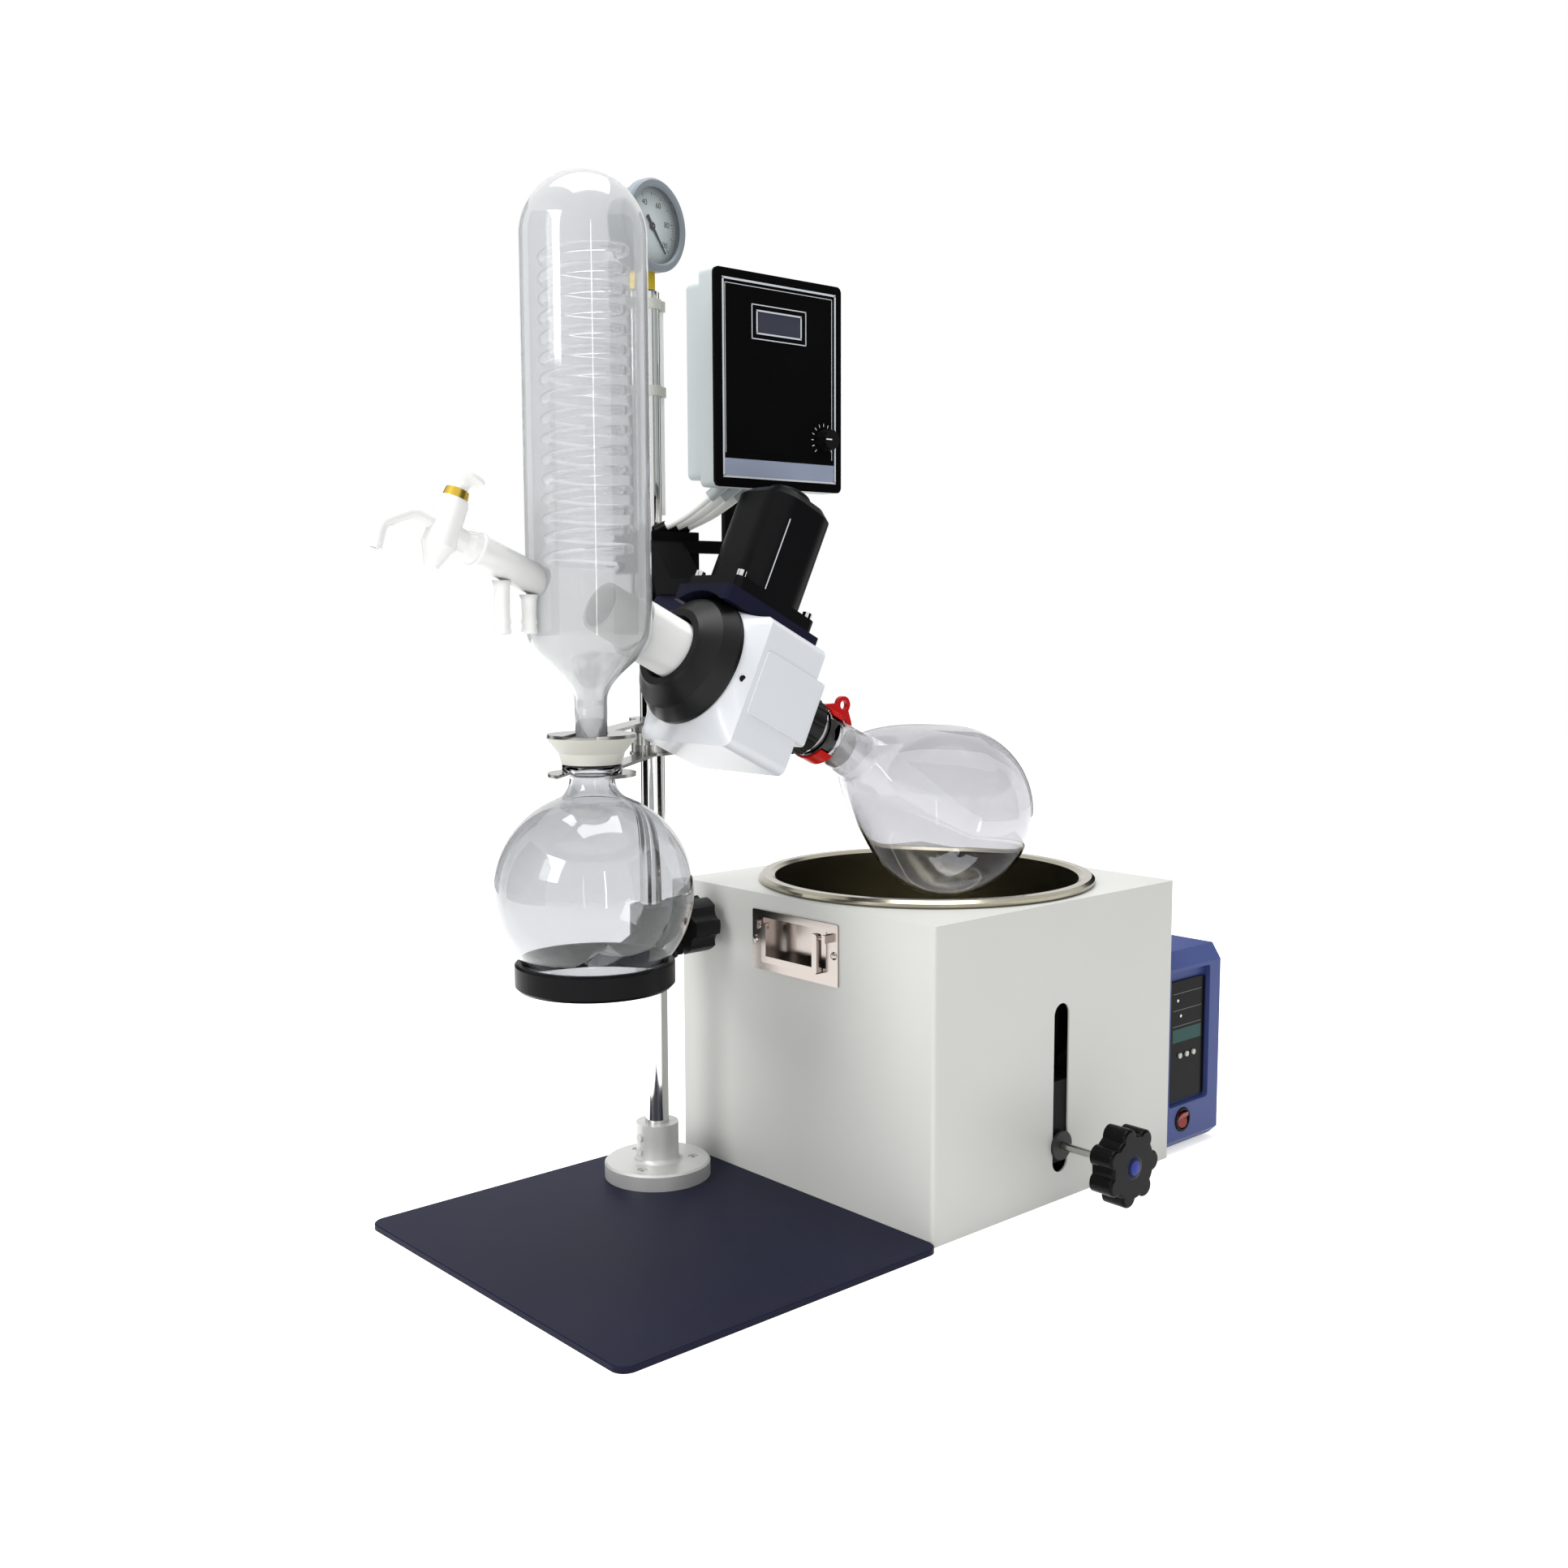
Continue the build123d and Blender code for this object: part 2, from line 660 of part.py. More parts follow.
# Drive gear: a bevel wheel keyed on the hollow shaft
root_in = 0.9 * gear_module
with BuildPart() as drive_gear:
    sin_g, cos_g = gear_r / cone_length, pinion_r / cone_length
    big_s = motor_station + pinion_r + root_in * sin_g
    big_r = gear_r - root_in * cos_g
    small_s = motor_station + (pinion_r + root_in * sin_g) * tooth_shrink
    small_r = (gear_r - root_in * cos_g) * tooth_shrink
    turn(shaft_side, (small_s, shaft_r + fit_gap), (small_s, small_r), (big_s, big_r),
         (big_s + 4, big_r - 1), (big_s + 6, 24), (big_s + 14, 24),
         (big_s + 14, shaft_r + fit_gap))
    for number in range(gear_teeth):
        add(gear_tooth.part.rotate(Axis(crossing, shaft_dir), (number + 0.5) * 360 / gear_teeth))

# Motor rotor: its shaft runs in the flange and the cap, with the bevel pinion on its end
half_tooth = pi / pinion_teeth      # the outline lies in a tooth gap
motor_side = Plane(origin=cone_tip, x_dir=shaft_up,
                   z_dir=Vector(0, 1, 0) * cos(half_tooth) + shaft_dir * sin(half_tooth))
motor_top = motor_low + motor_height
root_low = (gear_r + root_in * cos_g) * tooth_shrink
root_high = gear_r + root_in * cos_g
root_high_r = pinion_r - root_in * sin_g
root_low_r = root_high_r * tooth_shrink
end_lip = 0.06                      # the root cone runs past the teeth by this share of its length
pinion_low = root_low - end_lip * (root_high - root_low)
pinion_high = root_high + end_lip * (root_high - root_low)
pinion_low_r = root_low_r - end_lip * (root_high_r - root_low_r)
pinion_high_r = root_high_r + end_lip * (root_high_r - root_low_r)
with BuildPart() as motor_rotor:
    turn(motor_side, (pinion_low, 0), (pinion_low, pinion_low_r), (pinion_high, pinion_high_r),
         (pinion_high + 2, motor_shaft_r), (motor_low + 14, motor_shaft_r),
         (motor_low + 14, rotor_r), (motor_top - 34, rotor_r), (motor_top - 34, motor_shaft_r),
         (motor_top - 16, motor_shaft_r), (motor_top - 16, 0))
    add([pinion_tooth.part.rotate(Axis(cone_tip, shaft_up), number * 360 / pinion_teeth)
         for number in range(pinion_teeth)])

# Motor housing: a rounded square can with a stepped top, standing on its square flange
with BuildPart() as motor_housing:
    with BuildSketch(on_head(motor_low)):
        RectangleRounded(2 * motor_half, 2 * motor_half, motor_corner)
    extrude(amount=motor_height)
    chamfer(motor_housing.faces().sort_by(Axis(cone_tip, shaft_up))[-1].edges(), 9)
    with BuildSketch(on_head(motor_top)):
        Circle(motor_cap_r)
    extrude(amount=9)
    fillet(motor_housing.faces().sort_by(Axis(cone_tip, shaft_up))[-1].edges(), 4)
    with BuildSketch(on_head(motor_low)):
        RectangleRounded(2 * (motor_half - motor_wall), 2 * (motor_half - motor_wall),
                         motor_corner - motor_wall)
    extrude(amount=motor_height - 22, mode=Mode.SUBTRACT)
    rod(along(motor_station, motor_low), along(motor_station, motor_top - 15),
        motor_shaft_r + fit_gap, mode=Mode.SUBTRACT)
    with BuildSketch(on_head(head_plate_top)):
        RectangleRounded(2 * motor_half + 26, 2 * motor_half, 8)
        Circle(motor_shaft_r + fit_gap, mode=Mode.SUBTRACT)
        with GridLocations(2 * motor_bolt_spread, 2 * motor_half - 18, 2, 2):
            Circle(3 + fit_gap, mode=Mode.SUBTRACT)
    extrude(amount=motor_flange_thick)

# Pull-off nut: it pushes the flask off the shaft's cone
with BuildPart() as pull_nut:
    turn(shaft_side, (pull_nut_start, shaft_r + fit_gap), (pull_nut_start, pull_nut_r - 2),
         (pull_nut_start + 2, pull_nut_r), (pull_nut_end - 3, pull_nut_r),
         (pull_nut_end, pull_nut_r - 4), (pull_nut_end, shaft_r + fit_gap))
    with BuildSketch(across_shaft(pull_nut_start)):
        with PolarLocations(pull_nut_r + 2.2, 12):
            Circle(4)
    extrude(amount=pull_nut_end - pull_nut_start, mode=Mode.SUBTRACT)

# Joint clip: a sprung band open on one side, with a pull ring and a finger
clip_outer = flask_neck_r + 4.5
finger_low = flask_neck_r + 0.5
with BuildPart() as joint_clip:
    with BuildSketch(across_shaft(clip_start)):
        Circle(clip_outer)
        Circle(flask_neck_r + 2 + fit_gap, mode=Mode.SUBTRACT)
        with Locations((-clip_outer, 0)):
            Rectangle(clip_outer * 1.2, clip_outer * 1.3, mode=Mode.SUBTRACT)
    extrude(amount=clip_length)
    with BuildSketch(Plane(origin=along(0, 0, -2.5), x_dir=shaft_dir, z_dir=(0, 1, 0))):
        with Locations((clip_start + 27, -(clip_outer + 11))):
            Circle(9)
        with BuildLine():
            Polyline((clip_start + 2, -(clip_outer - 1)), (clip_start + 6, -(clip_outer + 3)),
                     (clip_start + 20, -(clip_outer + 10)), (clip_start + 34, -(clip_outer + 10)),
                     (clip_start + 45, -(clip_outer - 1)), (clip_start + 47, -finger_low),
                     (clip_start + 39, -finger_low), (clip_start + 30, -(clip_outer + 1)),
                     (clip_start + clip_length, -(clip_outer - 1)), close=True)
        make_face()
        with Locations((clip_start + 27, -(clip_outer + 11))):
            Circle(4.8, mode=Mode.SUBTRACT)
    extrude(amount=5)

# Evaporating flask: a pear-necked ball blown from one wall thickness
pear_angle = radians(50)
with BuildPart() as evaporating_flask:
    for shrink, cut in ((0.0, Mode.ADD), (glass_wall, Mode.SUBTRACT)):
        ball = flask_r - shrink
        shoulder = (flask_station - ball * cos(pear_angle), ball * sin(pear_angle))
        with BuildSketch(shaft_side) as flask_face:
            with BuildLine():
                neck_line = Line((flask_mouth, flask_neck_r - shrink),
                                 (flask_mouth + 84, flask_neck_r - shrink))
                blend = Spline(neck_line @ 1, shoulder,
                               tangents=((1, 0), (sin(pear_angle), cos(pear_angle))))
                tail = ThreePointArc(shoulder, (flask_station, ball), (flask_station + ball, 0))
                Line(tail @ 1, (flask_mouth, 0))
                Line((flask_mouth, 0), neck_line @ 0)
            make_face()
        revolve(flask_face.sketch, axis=Axis(crossing, shaft_dir), mode=cut)
    turn(shaft_side, (flask_mouth, flask_neck_r - 1), (flask_mouth, flask_neck_r + 2),
         (flask_mouth + 20, flask_neck_r + 2), (flask_mouth + 24, flask_neck_r - 1))
    turn(shaft_side, (flask_mouth, 0), (flask_mouth, joint_big_r + fit_gap),
         (joint_end, joint_small_r + fit_gap), (joint_end + 4, 0), mode=Mode.SUBTRACT)
    turn(shaft_side, (joint_start, joint_big_r + fit_gap), (joint_start, 21.9),
         (joint_end + 3, 22.6), (joint_end, joint_small_r + fit_gap))

# Condenser jacket: a domed tube with a waisted foot, the shaft port, feed socket and nipples
nipple_left = (glass_x - 84, feed_z + 18)
with BuildPart() as condenser_jacket:
    for shrink, cut in ((0.0, Mode.ADD), (glass_wall, Mode.SUBTRACT)):
        body = jacket_r - shrink
        tube = neck_r - shrink
        if cut == Mode.ADD:
            rod(along(30), along(port_end), port_r)
            turn(shaft_side, (port_end - 6, port_r - 1), (port_end - 6, port_flange_r),
                 (port_end, port_flange_r), (port_end, port_r - 1))
            rod(feed_root + feed_dir * 30, feed_root + feed_dir * 126, feed_joint_r)
            rod((glass_x - 63, glass_y, nipple_end_z), (glass_x - 63, glass_y, feed_z + 26),
                nipple_r)
            rod((glass_x - 90, glass_y, nipple_end_z), (glass_x - 90, glass_y, feed_z + 36),
                nipple_r)
        with BuildSketch(glass_side) as jacket_face:
            with BuildLine():
                foot = Line((neck_low, 0), (neck_low, tube))
                stem = Line(foot @ 1, (neck_high, tube))
                waist = Spline(stem @ 1, (jacket_low, body), tangents=((1, 0), (1, 0)))
                wall = Line(waist @ 1, (jacket_high, body))
                dome = ThreePointArc(wall @ 1,
                                     (jacket_high + body * sin(pi / 4), body * cos(pi / 4)),
                                     (jacket_high + body, 0))
                Line(dome @ 1, foot @ 0)
            make_face()
        revolve(jacket_face.sketch, axis=Axis((glass_x, glass_y, 0), (0, 0, 1)), mode=cut)
    rod(along(0), along(port_end + 1), duct_r, mode=Mode.SUBTRACT)
    rod(feed_root + feed_dir * 20, feed_root + feed_dir * 127, feed_r + fit_gap, mode=Mode.SUBTRACT)
    for nipple_x in (glass_x - 63, glass_x - 90):
        rod((nipple_x, glass_y, nipple_end_z - 1), (nipple_x, glass_y, feed_z + 20), nipple_bore_r,
            mode=Mode.SUBTRACT)

# Condenser coil: one glass tube wound up inside the jacket, its ends let into the wall
coil_high = coil_low + coil_pitch * coil_turns
leg_reach = sqrt((jacket_r - glass_wall) ** 2 - coil_tube_r ** 2)
with BuildPart() as condenser_coil:
    with BuildLine() as winding:
        Helix(coil_pitch, coil_pitch * coil_turns, coil_r, center=(glass_x, glass_y, coil_low))
    with BuildSketch(Plane(origin=winding.line @ 0, z_dir=winding.line % 0)):
        Circle(coil_tube_r)
    sweep(path=winding.line, is_frenet=True)
    for level in (coil_low, coil_high):
        rod((glass_x + coil_r, glass_y, level), (glass_x + leg_reach, glass_y, level), coil_tube_r)

# Joint cone: the tapered ring in which the condenser's stem meets the flask's mouth
receiver_flange_top = cone_foot
receiver_flange_low = receiver_flange_top - receiver_flange_thick
with BuildPart() as joint_cone:
    turn(glass_side, (cone_foot, neck_r + fit_gap), (cone_foot, receiver_flange_r),
         (cone_foot + 10, receiver_flange_r + 3), (cone_top - 4, cone_top_r - 3),
         (cone_top, cone_top_r), (cone_top, neck_r + fit_gap))

# Receiving flask: a round ball with a short neck and a ground flange
with BuildPart() as receiving_flask:
    for shrink, cut in ((0.0, Mode.ADD), (glass_wall, Mode.SUBTRACT)):
        ball = receiver_r - shrink
        tube = receiver_neck_r - shrink
        join_r = receiver_neck_r + 12
        join_z = receiver_z + sqrt(ball ** 2 - join_r ** 2)
        slope = (join_z - receiver_z, -join_r)
        with BuildSketch(glass_side) as receiver_face:
            with BuildLine():
                base = ThreePointArc((receiver_z - ball, 0), (receiver_z, ball), (join_z, join_r))
                throat = Spline(base @ 1, (join_z + 18, tube),
                                tangents=((join_r, -slope[0]), (1, 0)))
                stem = Line(throat @ 1, (receiver_flange_top, tube))
                lid = Line(stem @ 1, (receiver_flange_top, 0))
                Line(lid @ 1, base @ 0)
            make_face()
        revolve(receiver_face.sketch, axis=Axis((glass_x, glass_y, 0), (0, 0, 1)), mode=cut)
        if cut == Mode.ADD:
            turn(glass_side, (receiver_flange_low, receiver_neck_r - 1),
                 (receiver_flange_low, receiver_flange_r), (receiver_flange_top, receiver_flange_r),
                 (receiver_flange_top, receiver_neck_r - 1))

# Joint clamp plates: two forked bars from the column that grip the cone and the flange
joint_place = Location((0, 0, 0), (0, 0, joint_angle))
plate_levels = {"top": cone_top, "low": receiver_flange_low - clamp_plate_thick}


def fork_plate(level, throat_r, pin_hole):
    """Build one clamp plate: a ring end on the column and an open fork at the glass axis."""
    with BuildSketch(Plane.XY.offset(level)) as outline:
        with Locations(joint_place):
            Circle(clamp_block_r)
            with Locations((joint_reach / 2, 0)):
                Rectangle(joint_reach, 2 * clamp_bar_half)
            with Locations((joint_reach, 0)):
                Circle(clamp_end_r)
                Circle(throat_r, mode=Mode.SUBTRACT)
            with Locations((joint_reach + clamp_end_r, 0)):
                Rectangle(2 * clamp_end_r, 2 * throat_r, mode=Mode.SUBTRACT)
            Circle(column_r + fit_gap, mode=Mode.SUBTRACT)
            with Locations((lever_station, 0)):
                Circle(pin_hole, mode=Mode.SUBTRACT)
    extrude(outline.sketch, amount=clamp_plate_thick)


lever_station = clamp_block_r + 14
with BuildPart() as clamp_plate_top:
    fork_plate(plate_levels["top"], neck_r + 1, lever_pin_r + fit_gap)
with BuildPart() as clamp_plate_low:
    fork_plate(plate_levels["low"], receiver_neck_r + 1, lever_pin_r + fit_gap)

# Clamp block: the split block on the column that carries both plates
block_low = receiver_flange_low
with BuildPart() as clamp_block:
    with BuildSketch(Plane.XY.offset(block_low)):
        Circle(clamp_block_r - 2)
        Circle(column_r + fit_gap, mode=Mode.SUBTRACT)
        with Locations(Location((0, 0, 0), (0, 0, joint_angle + 180))):
            with Locations((clamp_block_r, 0)):
                Rectangle(clamp_block_r, 3, mode=Mode.SUBTRACT)
    extrude(amount=cone_top - block_low)

# Clamp lever: an eccentric on a pin between the plates that draws them together
lever_origin = Vector(to_joint.X * lever_station, to_joint.Y * lever_station, 0)
lever_mid = (cone_top + block_low) / 2
with BuildPart() as clamp_lever:
    with BuildSketch(Plane.XY.offset(plate_levels["low"] - 3)):
        with Locations((lever_origin.X, lever_origin.Y)):
            Circle(lever_pin_r)
    extrude(amount=cone_top + clamp_plate_thick + 3 - plate_levels["low"] + 3)
    with BuildSketch(Plane.XY.offset(lever_mid - 6)):
        with Locations((lever_origin.X, lever_origin.Y)):
            Circle(8)
            with Locations(Location((0, 0, 0), (0, 0, joint_angle + 110))):
                with Locations((lever_length / 2, 0)):
                    SlotOverall(lever_length + 8, 9)
    extrude(amount=12)

# Support ring: a bored ring with a chamfered seat and an arm to its clamp
arm_level = ring_top - ring_height
with BuildPart() as support_ring:
    turn(glass_side, (arm_level, ring_bore_r), (arm_level, ring_r - 3), (arm_level + 3, ring_r),
         (ring_top - 2, ring_r), (ring_top, ring_r - 2), (ring_top, ring_bore_r + 3),
         (ring_top - 3.5, ring_bore_r))
    with BuildSketch(Plane.XY.offset(arm_level)):
        with Locations(joint_place):
            with Locations(((ring_clamp_r + joint_reach - ring_r) / 2, 0)):
                Rectangle(joint_reach - ring_r - ring_clamp_r + 3, ring_arm_width)
    extrude(amount=ring_arm_height)

# Ring clamp: the column boss that carries the arm
ring_clamp_low = arm_level - 20
with BuildPart() as ring_clamp:
    with BuildSketch(Plane.XY.offset(ring_clamp_low)):
        Circle(ring_clamp_r)
        with Locations((ring_clamp_r - 4, 0)):
            Rectangle(14, 26)
        Circle(column_r + fit_gap, mode=Mode.SUBTRACT)
    extrude(amount=ring_clamp_height)
    with BuildSketch(Plane.XY.offset(arm_level - free_gap)):
        with Locations(joint_place):
            with Locations((ring_clamp_r, 0)):
                Rectangle(6, ring_arm_width + 2 * fit_gap)
    extrude(amount=ring_arm_height + 2 * free_gap, mode=Mode.SUBTRACT)
    rod((column_r, 0, ring_clamp_low + ring_clamp_height / 2),
        (ring_clamp_r + 8, 0, ring_clamp_low + ring_clamp_height / 2), ring_screw_r + fit_gap,
        mode=Mode.SUBTRACT)

# Ring clamp knob: a lobed hand knob on a screw that bears on the column
knob_level = ring_clamp_low + ring_clamp_height / 2
knob_start = ring_clamp_r + 3 + free_gap + 5
with BuildPart() as ring_knob:
    rod((column_r + free_gap, 0, knob_level), (knob_start + 4, 0, knob_level), ring_screw_r)
    with BuildSketch(Plane.YZ.offset(knob_start)):
        with Locations((0, knob_level)):
            Circle(ring_knob_r)
            with PolarLocations(ring_knob_r + 5, 6, start_angle=30):
                Circle(10, mode=Mode.SUBTRACT)
    extrude(amount=ring_knob_thick)
    fillet(ring_knob.faces().sort_by(Axis.X)[-1].edges(), 3)

# Feed valve body: joint, side tube and upright barrel bored for the plug
barrel_centre = feed_root + feed_dir * barrel_station
barrel_side = Plane(origin=barrel_centre, x_dir=feed_up, z_dir=(0, 1, 0))
spout_path = [barrel_centre + feed_dir * 8 + feed_up * 4, barrel_centre + feed_dir * 32 + feed_up * 4,
              (glass_x - 202, glass_y, feed_z + 68), (glass_x - 208, glass_y, feed_z + 48)]
with BuildPart() as feed_valve:
    rod(feed_root + feed_dir * 104, feed_root + feed_dir * 126, feed_r)
    turn(feed_side, (126, feed_r - 1), (126, feed_joint_r), (132, feed_joint_r - 1), (138, feed_r),
         (138, feed_r - 1))
    rod(feed_root + feed_dir * 124, barrel_centre, feed_r)
    turn(barrel_side, (barrel_low - 6, 0), (barrel_low - 5, 6), (barrel_low + 3, barrel_r - 5),
         (barrel_low + 14, barrel_r), (barrel_high - 4, barrel_r - 1.5), (barrel_high, barrel_r - 2.5),
         (barrel_high, 0))
    with BuildLine(Plane.XY) as spout_line:
        FilletPolyline(*spout_path, radius=[13, 12])
    with BuildSketch(Plane(origin=spout_line.line @ 0, z_dir=spout_line.line % 0)):
        Circle(spout_r)
    sweep(path=spout_line.line)
    rod(barrel_centre + feed_up * barrel_low, barrel_centre + feed_up * (barrel_high + 1),
        plug_r + fit_gap, mode=Mode.SUBTRACT)
    rod(feed_root + feed_dir * 103, barrel_centre, feed_r - glass_wall, mode=Mode.SUBTRACT)
    with BuildSketch(Plane(origin=spout_line.line @ 0, z_dir=spout_line.line % 0)):
        Circle(spout_r - 2)
    sweep(path=spout_line.line, mode=Mode.SUBTRACT)

# Valve plug: a cross-bored plug with a keeper collar, under a dished thumb knob
with BuildPart() as valve_plug:
    turn(barrel_side, (barrel_low + 1, 0), (barrel_low + 1, plug_r - 1), (barrel_low + 2, plug_r),
         (barrel_high + free_gap, plug_r), (barrel_high + free_gap, plug_r + 3),
         (barrel_high + 8, plug_r + 2), (barrel_high + 8, plug_r), (barrel_high + 12, plug_r), (barrel_high + 15, plug_r + 1), (barrel_high + 19, plug_knob_r),
         (barrel_high + 22, plug_knob_r), (barrel_high + 25, plug_r), (barrel_high + 25, 0))
    rod(barrel_centre - feed_dir * 12, barrel_centre + feed_dir * 12, 3, mode=Mode.SUBTRACT)

# Control box post: a bar off the clamp's pad and an upright strap behind the box
post_x = box_left + box_width / 2 - 5
post_left = arm_half_width + free_gap
box_back = pad_front - post_thick
with BuildPart() as box_post:
    with BuildSketch(Plane.XZ.offset(-pad_front)):
        with Locations(((post_left + post_x + post_width / 2) / 2, post_bar_z)):
            Rectangle(post_x + post_width / 2 - post_left, post_bar_height)
        with Locations((post_x, (post_bar_z - post_bar_height / 2 + post_top) / 2)):
            Rectangle(post_width, post_top - post_bar_z + post_bar_height / 2)
    extrude(amount=post_thick)

# Control box housing: a stepped shell, open at the front, with three lead glands
box_mid = (box_left + box_width / 2, box_low + box_height / 2)
box_rim = box_front + bezel_thick
box_step_y = box_rim + box_front_depth
with BuildPart() as control_housing:
    with BuildSketch(Plane.XZ.offset(-box_rim)):
        with Locations(box_mid):
            RectangleRounded(box_width, box_height, box_corner)
    extrude(amount=-box_front_depth)
    with BuildSketch(Plane.XZ.offset(-box_step_y)):
        with Locations(box_mid):
            RectangleRounded(box_width - 2 * box_step, box_height - 2 * box_step, box_corner)
    extrude(amount=box_step_y - box_back)
    chamfer(control_housing.faces().sort_by(Axis.Y)[-1].edges(), 4)
    with BuildSketch(Plane.XZ.offset(-box_rim)):
        with Locations(box_mid):
            Rectangle(box_width - 2 * box_step - 2 * box_wall, box_height - 2 * box_step - 2 * box_wall)
    extrude(amount=-(box_back - box_rim - 10), mode=Mode.SUBTRACT)
    for route in lead_routes:
        rise = (route[0] - route[1]).normalized()
        rod(route[0], route[0] + rise * gland_reach, lead_r + 1.5)

# Control bezel: the panel with its raised line and the band along its foot
with BuildPart() as control_bezel:
    with BuildSketch(Plane.XZ.offset(-box_rim)):
        with Locations(box_mid):
            RectangleRounded(box_width, box_height, box_corner)
        with Locations((box_left + lcd_x + lcd_width / 2, box_low + lcd_z + lcd_height / 2)):
            Rectangle(lcd_width - 12, lcd_height - 6, mode=Mode.SUBTRACT)
        with Locations((box_left + speed_knob_x, box_low + speed_knob_z)):
            Circle(speed_pin_r + fit_gap, mode=Mode.SUBTRACT)
    extrude(amount=bezel_thick)
    with BuildSketch(Plane.XZ.offset(-box_front)):
        with Locations(box_mid):
            RectangleRounded(box_width - 2 * bezel_border, box_height - 2 * bezel_border, 4)
            RectangleRounded(box_width - 2 * bezel_border - 4, box_height - 2 * bezel_border - 4, 3,
                             mode=Mode.SUBTRACT)
    extrude(amount=1.2)
    with BuildSketch(Plane.XZ.offset(-box_front)):
        with Locations((box_mid[0], box_low + bezel_border + 2 + strip_height / 2)):
            Rectangle(box_width - 2 * bezel_border - 4, strip_height)
    extrude(amount=0.8)

# Display: a framed window let into the panel
with BuildPart() as control_display:
    with BuildSketch(Plane.XZ.offset(-box_rim + 1)):
        with Locations((box_left + lcd_x + lcd_width / 2, box_low + lcd_z + lcd_height / 2)):
            Rectangle(lcd_width - 12 - 2 * fit_gap, lcd_height - 6 - 2 * fit_gap)
    extrude(amount=bezel_thick - 1)
    with BuildSketch(Plane.XZ.offset(-box_front)):
        with Locations((box_left + lcd_x + lcd_width / 2, box_low + lcd_z + lcd_height / 2)):
            RectangleRounded(lcd_width, lcd_height + 8, 2)
            Rectangle(lcd_width - 13, lcd_height - 7, mode=Mode.SUBTRACT)
    extrude(amount=0.8)

# Speed knob: a fluted knob on a spindle through the panel
knob_spot = (box_left + speed_knob_x, box_low + speed_knob_z)
with BuildPart() as speed_knob:
    with BuildSketch(Plane.XZ.offset(-box_front + free_gap)):
        with Locations(knob_spot):
            Circle(speed_knob_r)
            with PolarLocations(speed_knob_r + 1.2, 12):
                Circle(2, mode=Mode.SUBTRACT)
    extrude(amount=13, taper=3)
    rod((knob_spot[0], box_front + 0.1, knob_spot[1]), (knob_spot[0], box_front + 12, knob_spot[1]),
        speed_pin_r)
    rod((knob_spot[0], box_front - free_gap - 1, knob_spot[1]), (knob_spot[0], box_front + 1, knob_spot[1]),
        speed_pin_r)

# Leads: each is swept along its route of straight runs and bends
lead_parts = []
for number, route in enumerate(lead_routes):
    radii = cord_radii(route)
    print("lead", number + 1, "bend radii", [round(r, 1) for r in radii])
    with BuildPart() as lead:
        with BuildLine() as lead_line:
            FilletPolyline(*route, radius=radii)
        with BuildSketch(Plane(origin=lead_line.line @ 0, z_dir=lead_line.line % 0)):
            Circle(lead_r)
        sweep(path=lead_line.line)
    lead_parts.append(lead)

# Bath casing: a sheet box with two guide rods inside, and the tub's hole, the knob slot and the handle windows
tray_mid_y = bath_y + 2.5
tray_mid_z = tray_top - tray_height / 2
cup_mid_z = tray_top - 6 - cup_height / 2
rod_spots = [(bath_x - rod_offset, bath_y + rod_offset), (bath_x + rod_offset, bath_y + rod_offset)]
with BuildPart() as bath_casing:
    with BuildSketch(Plane.XY):
        with Locations(tub_axis):
            RectangleRounded(bath_side, bath_side, bath_corner)
    extrude(amount=bath_height)
    with BuildSketch(Plane.XY.offset(bath_wall)):
        with Locations(tub_axis):
            Rectangle(bath_side - 2 * bath_wall, bath_side - 2 * bath_wall)
    extrude(amount=bath_height - 2 * bath_wall, mode=Mode.SUBTRACT)
    with BuildSketch(Plane.XY.offset(bath_height)):
        with Locations(tub_axis):
            Circle(tub_r + tub_wall + tub_hole_gap)
    extrude(amount=-2 * bath_wall, mode=Mode.SUBTRACT)
    with BuildSketch(Plane.XZ.offset(-bath_front)):
        with Locations((bath_x, (slot_low + slot_high) / 2)):
            SlotOverall(slot_high - slot_low, slot_width, rotation=90)
    extrude(amount=-3 * bath_wall, mode=Mode.SUBTRACT)
    for side_x in (bath_left, bath_right):
        with BuildSketch(Plane.YZ.offset(side_x)):
            with Locations((tray_mid_y, cup_mid_z)):
                Rectangle(cup_width + 1, cup_height + 1)
        extrude(amount=3 * bath_wall, both=True, mode=Mode.SUBTRACT)
    for spot in rod_spots:
        rod((*spot, bath_wall), (*spot, bath_height - bath_wall), rod_r)

# Tub: a drawn stainless pot with a rolled rim that rests on the casing
rim_low = bath_height + free_gap
with BuildPart() as tub:
    with BuildSketch(tub_side) as tub_face:
        with BuildLine():
            Polyline((tub_floor, 0), (tub_floor, tub_r + tub_wall - tub_floor_corner))
            outer_bend = RadiusArc((tub_floor, tub_r + tub_wall - tub_floor_corner),
                                   (tub_floor + tub_floor_corner, tub_r + tub_wall),
                                   tub_floor_corner)
            Polyline(outer_bend @ 1, (rim_low, tub_r + tub_wall), (rim_low, rim_r - 2),
                     (rim_low + 2, rim_r), (rim_low + rim_height - 3, rim_r),
                     (rim_low + rim_height, rim_r - 3.5), (rim_low + rim_height, tub_r + 5),
                     (rim_low + rim_height - 3, tub_r), (tub_floor + tub_floor_corner, tub_r))
            inner_bend = RadiusArc((tub_floor + tub_floor_corner, tub_r),
                                   (tub_floor + tub_wall, tub_r - tub_floor_corner + tub_wall),
                                   -(tub_floor_corner - tub_wall))
            Polyline(inner_bend @ 1, (tub_floor + tub_wall, 0), (tub_floor, 0))
        make_face()
    revolve(tub_face.sketch, axis=Axis((bath_x, bath_y, 0), (0, 0, 1)))

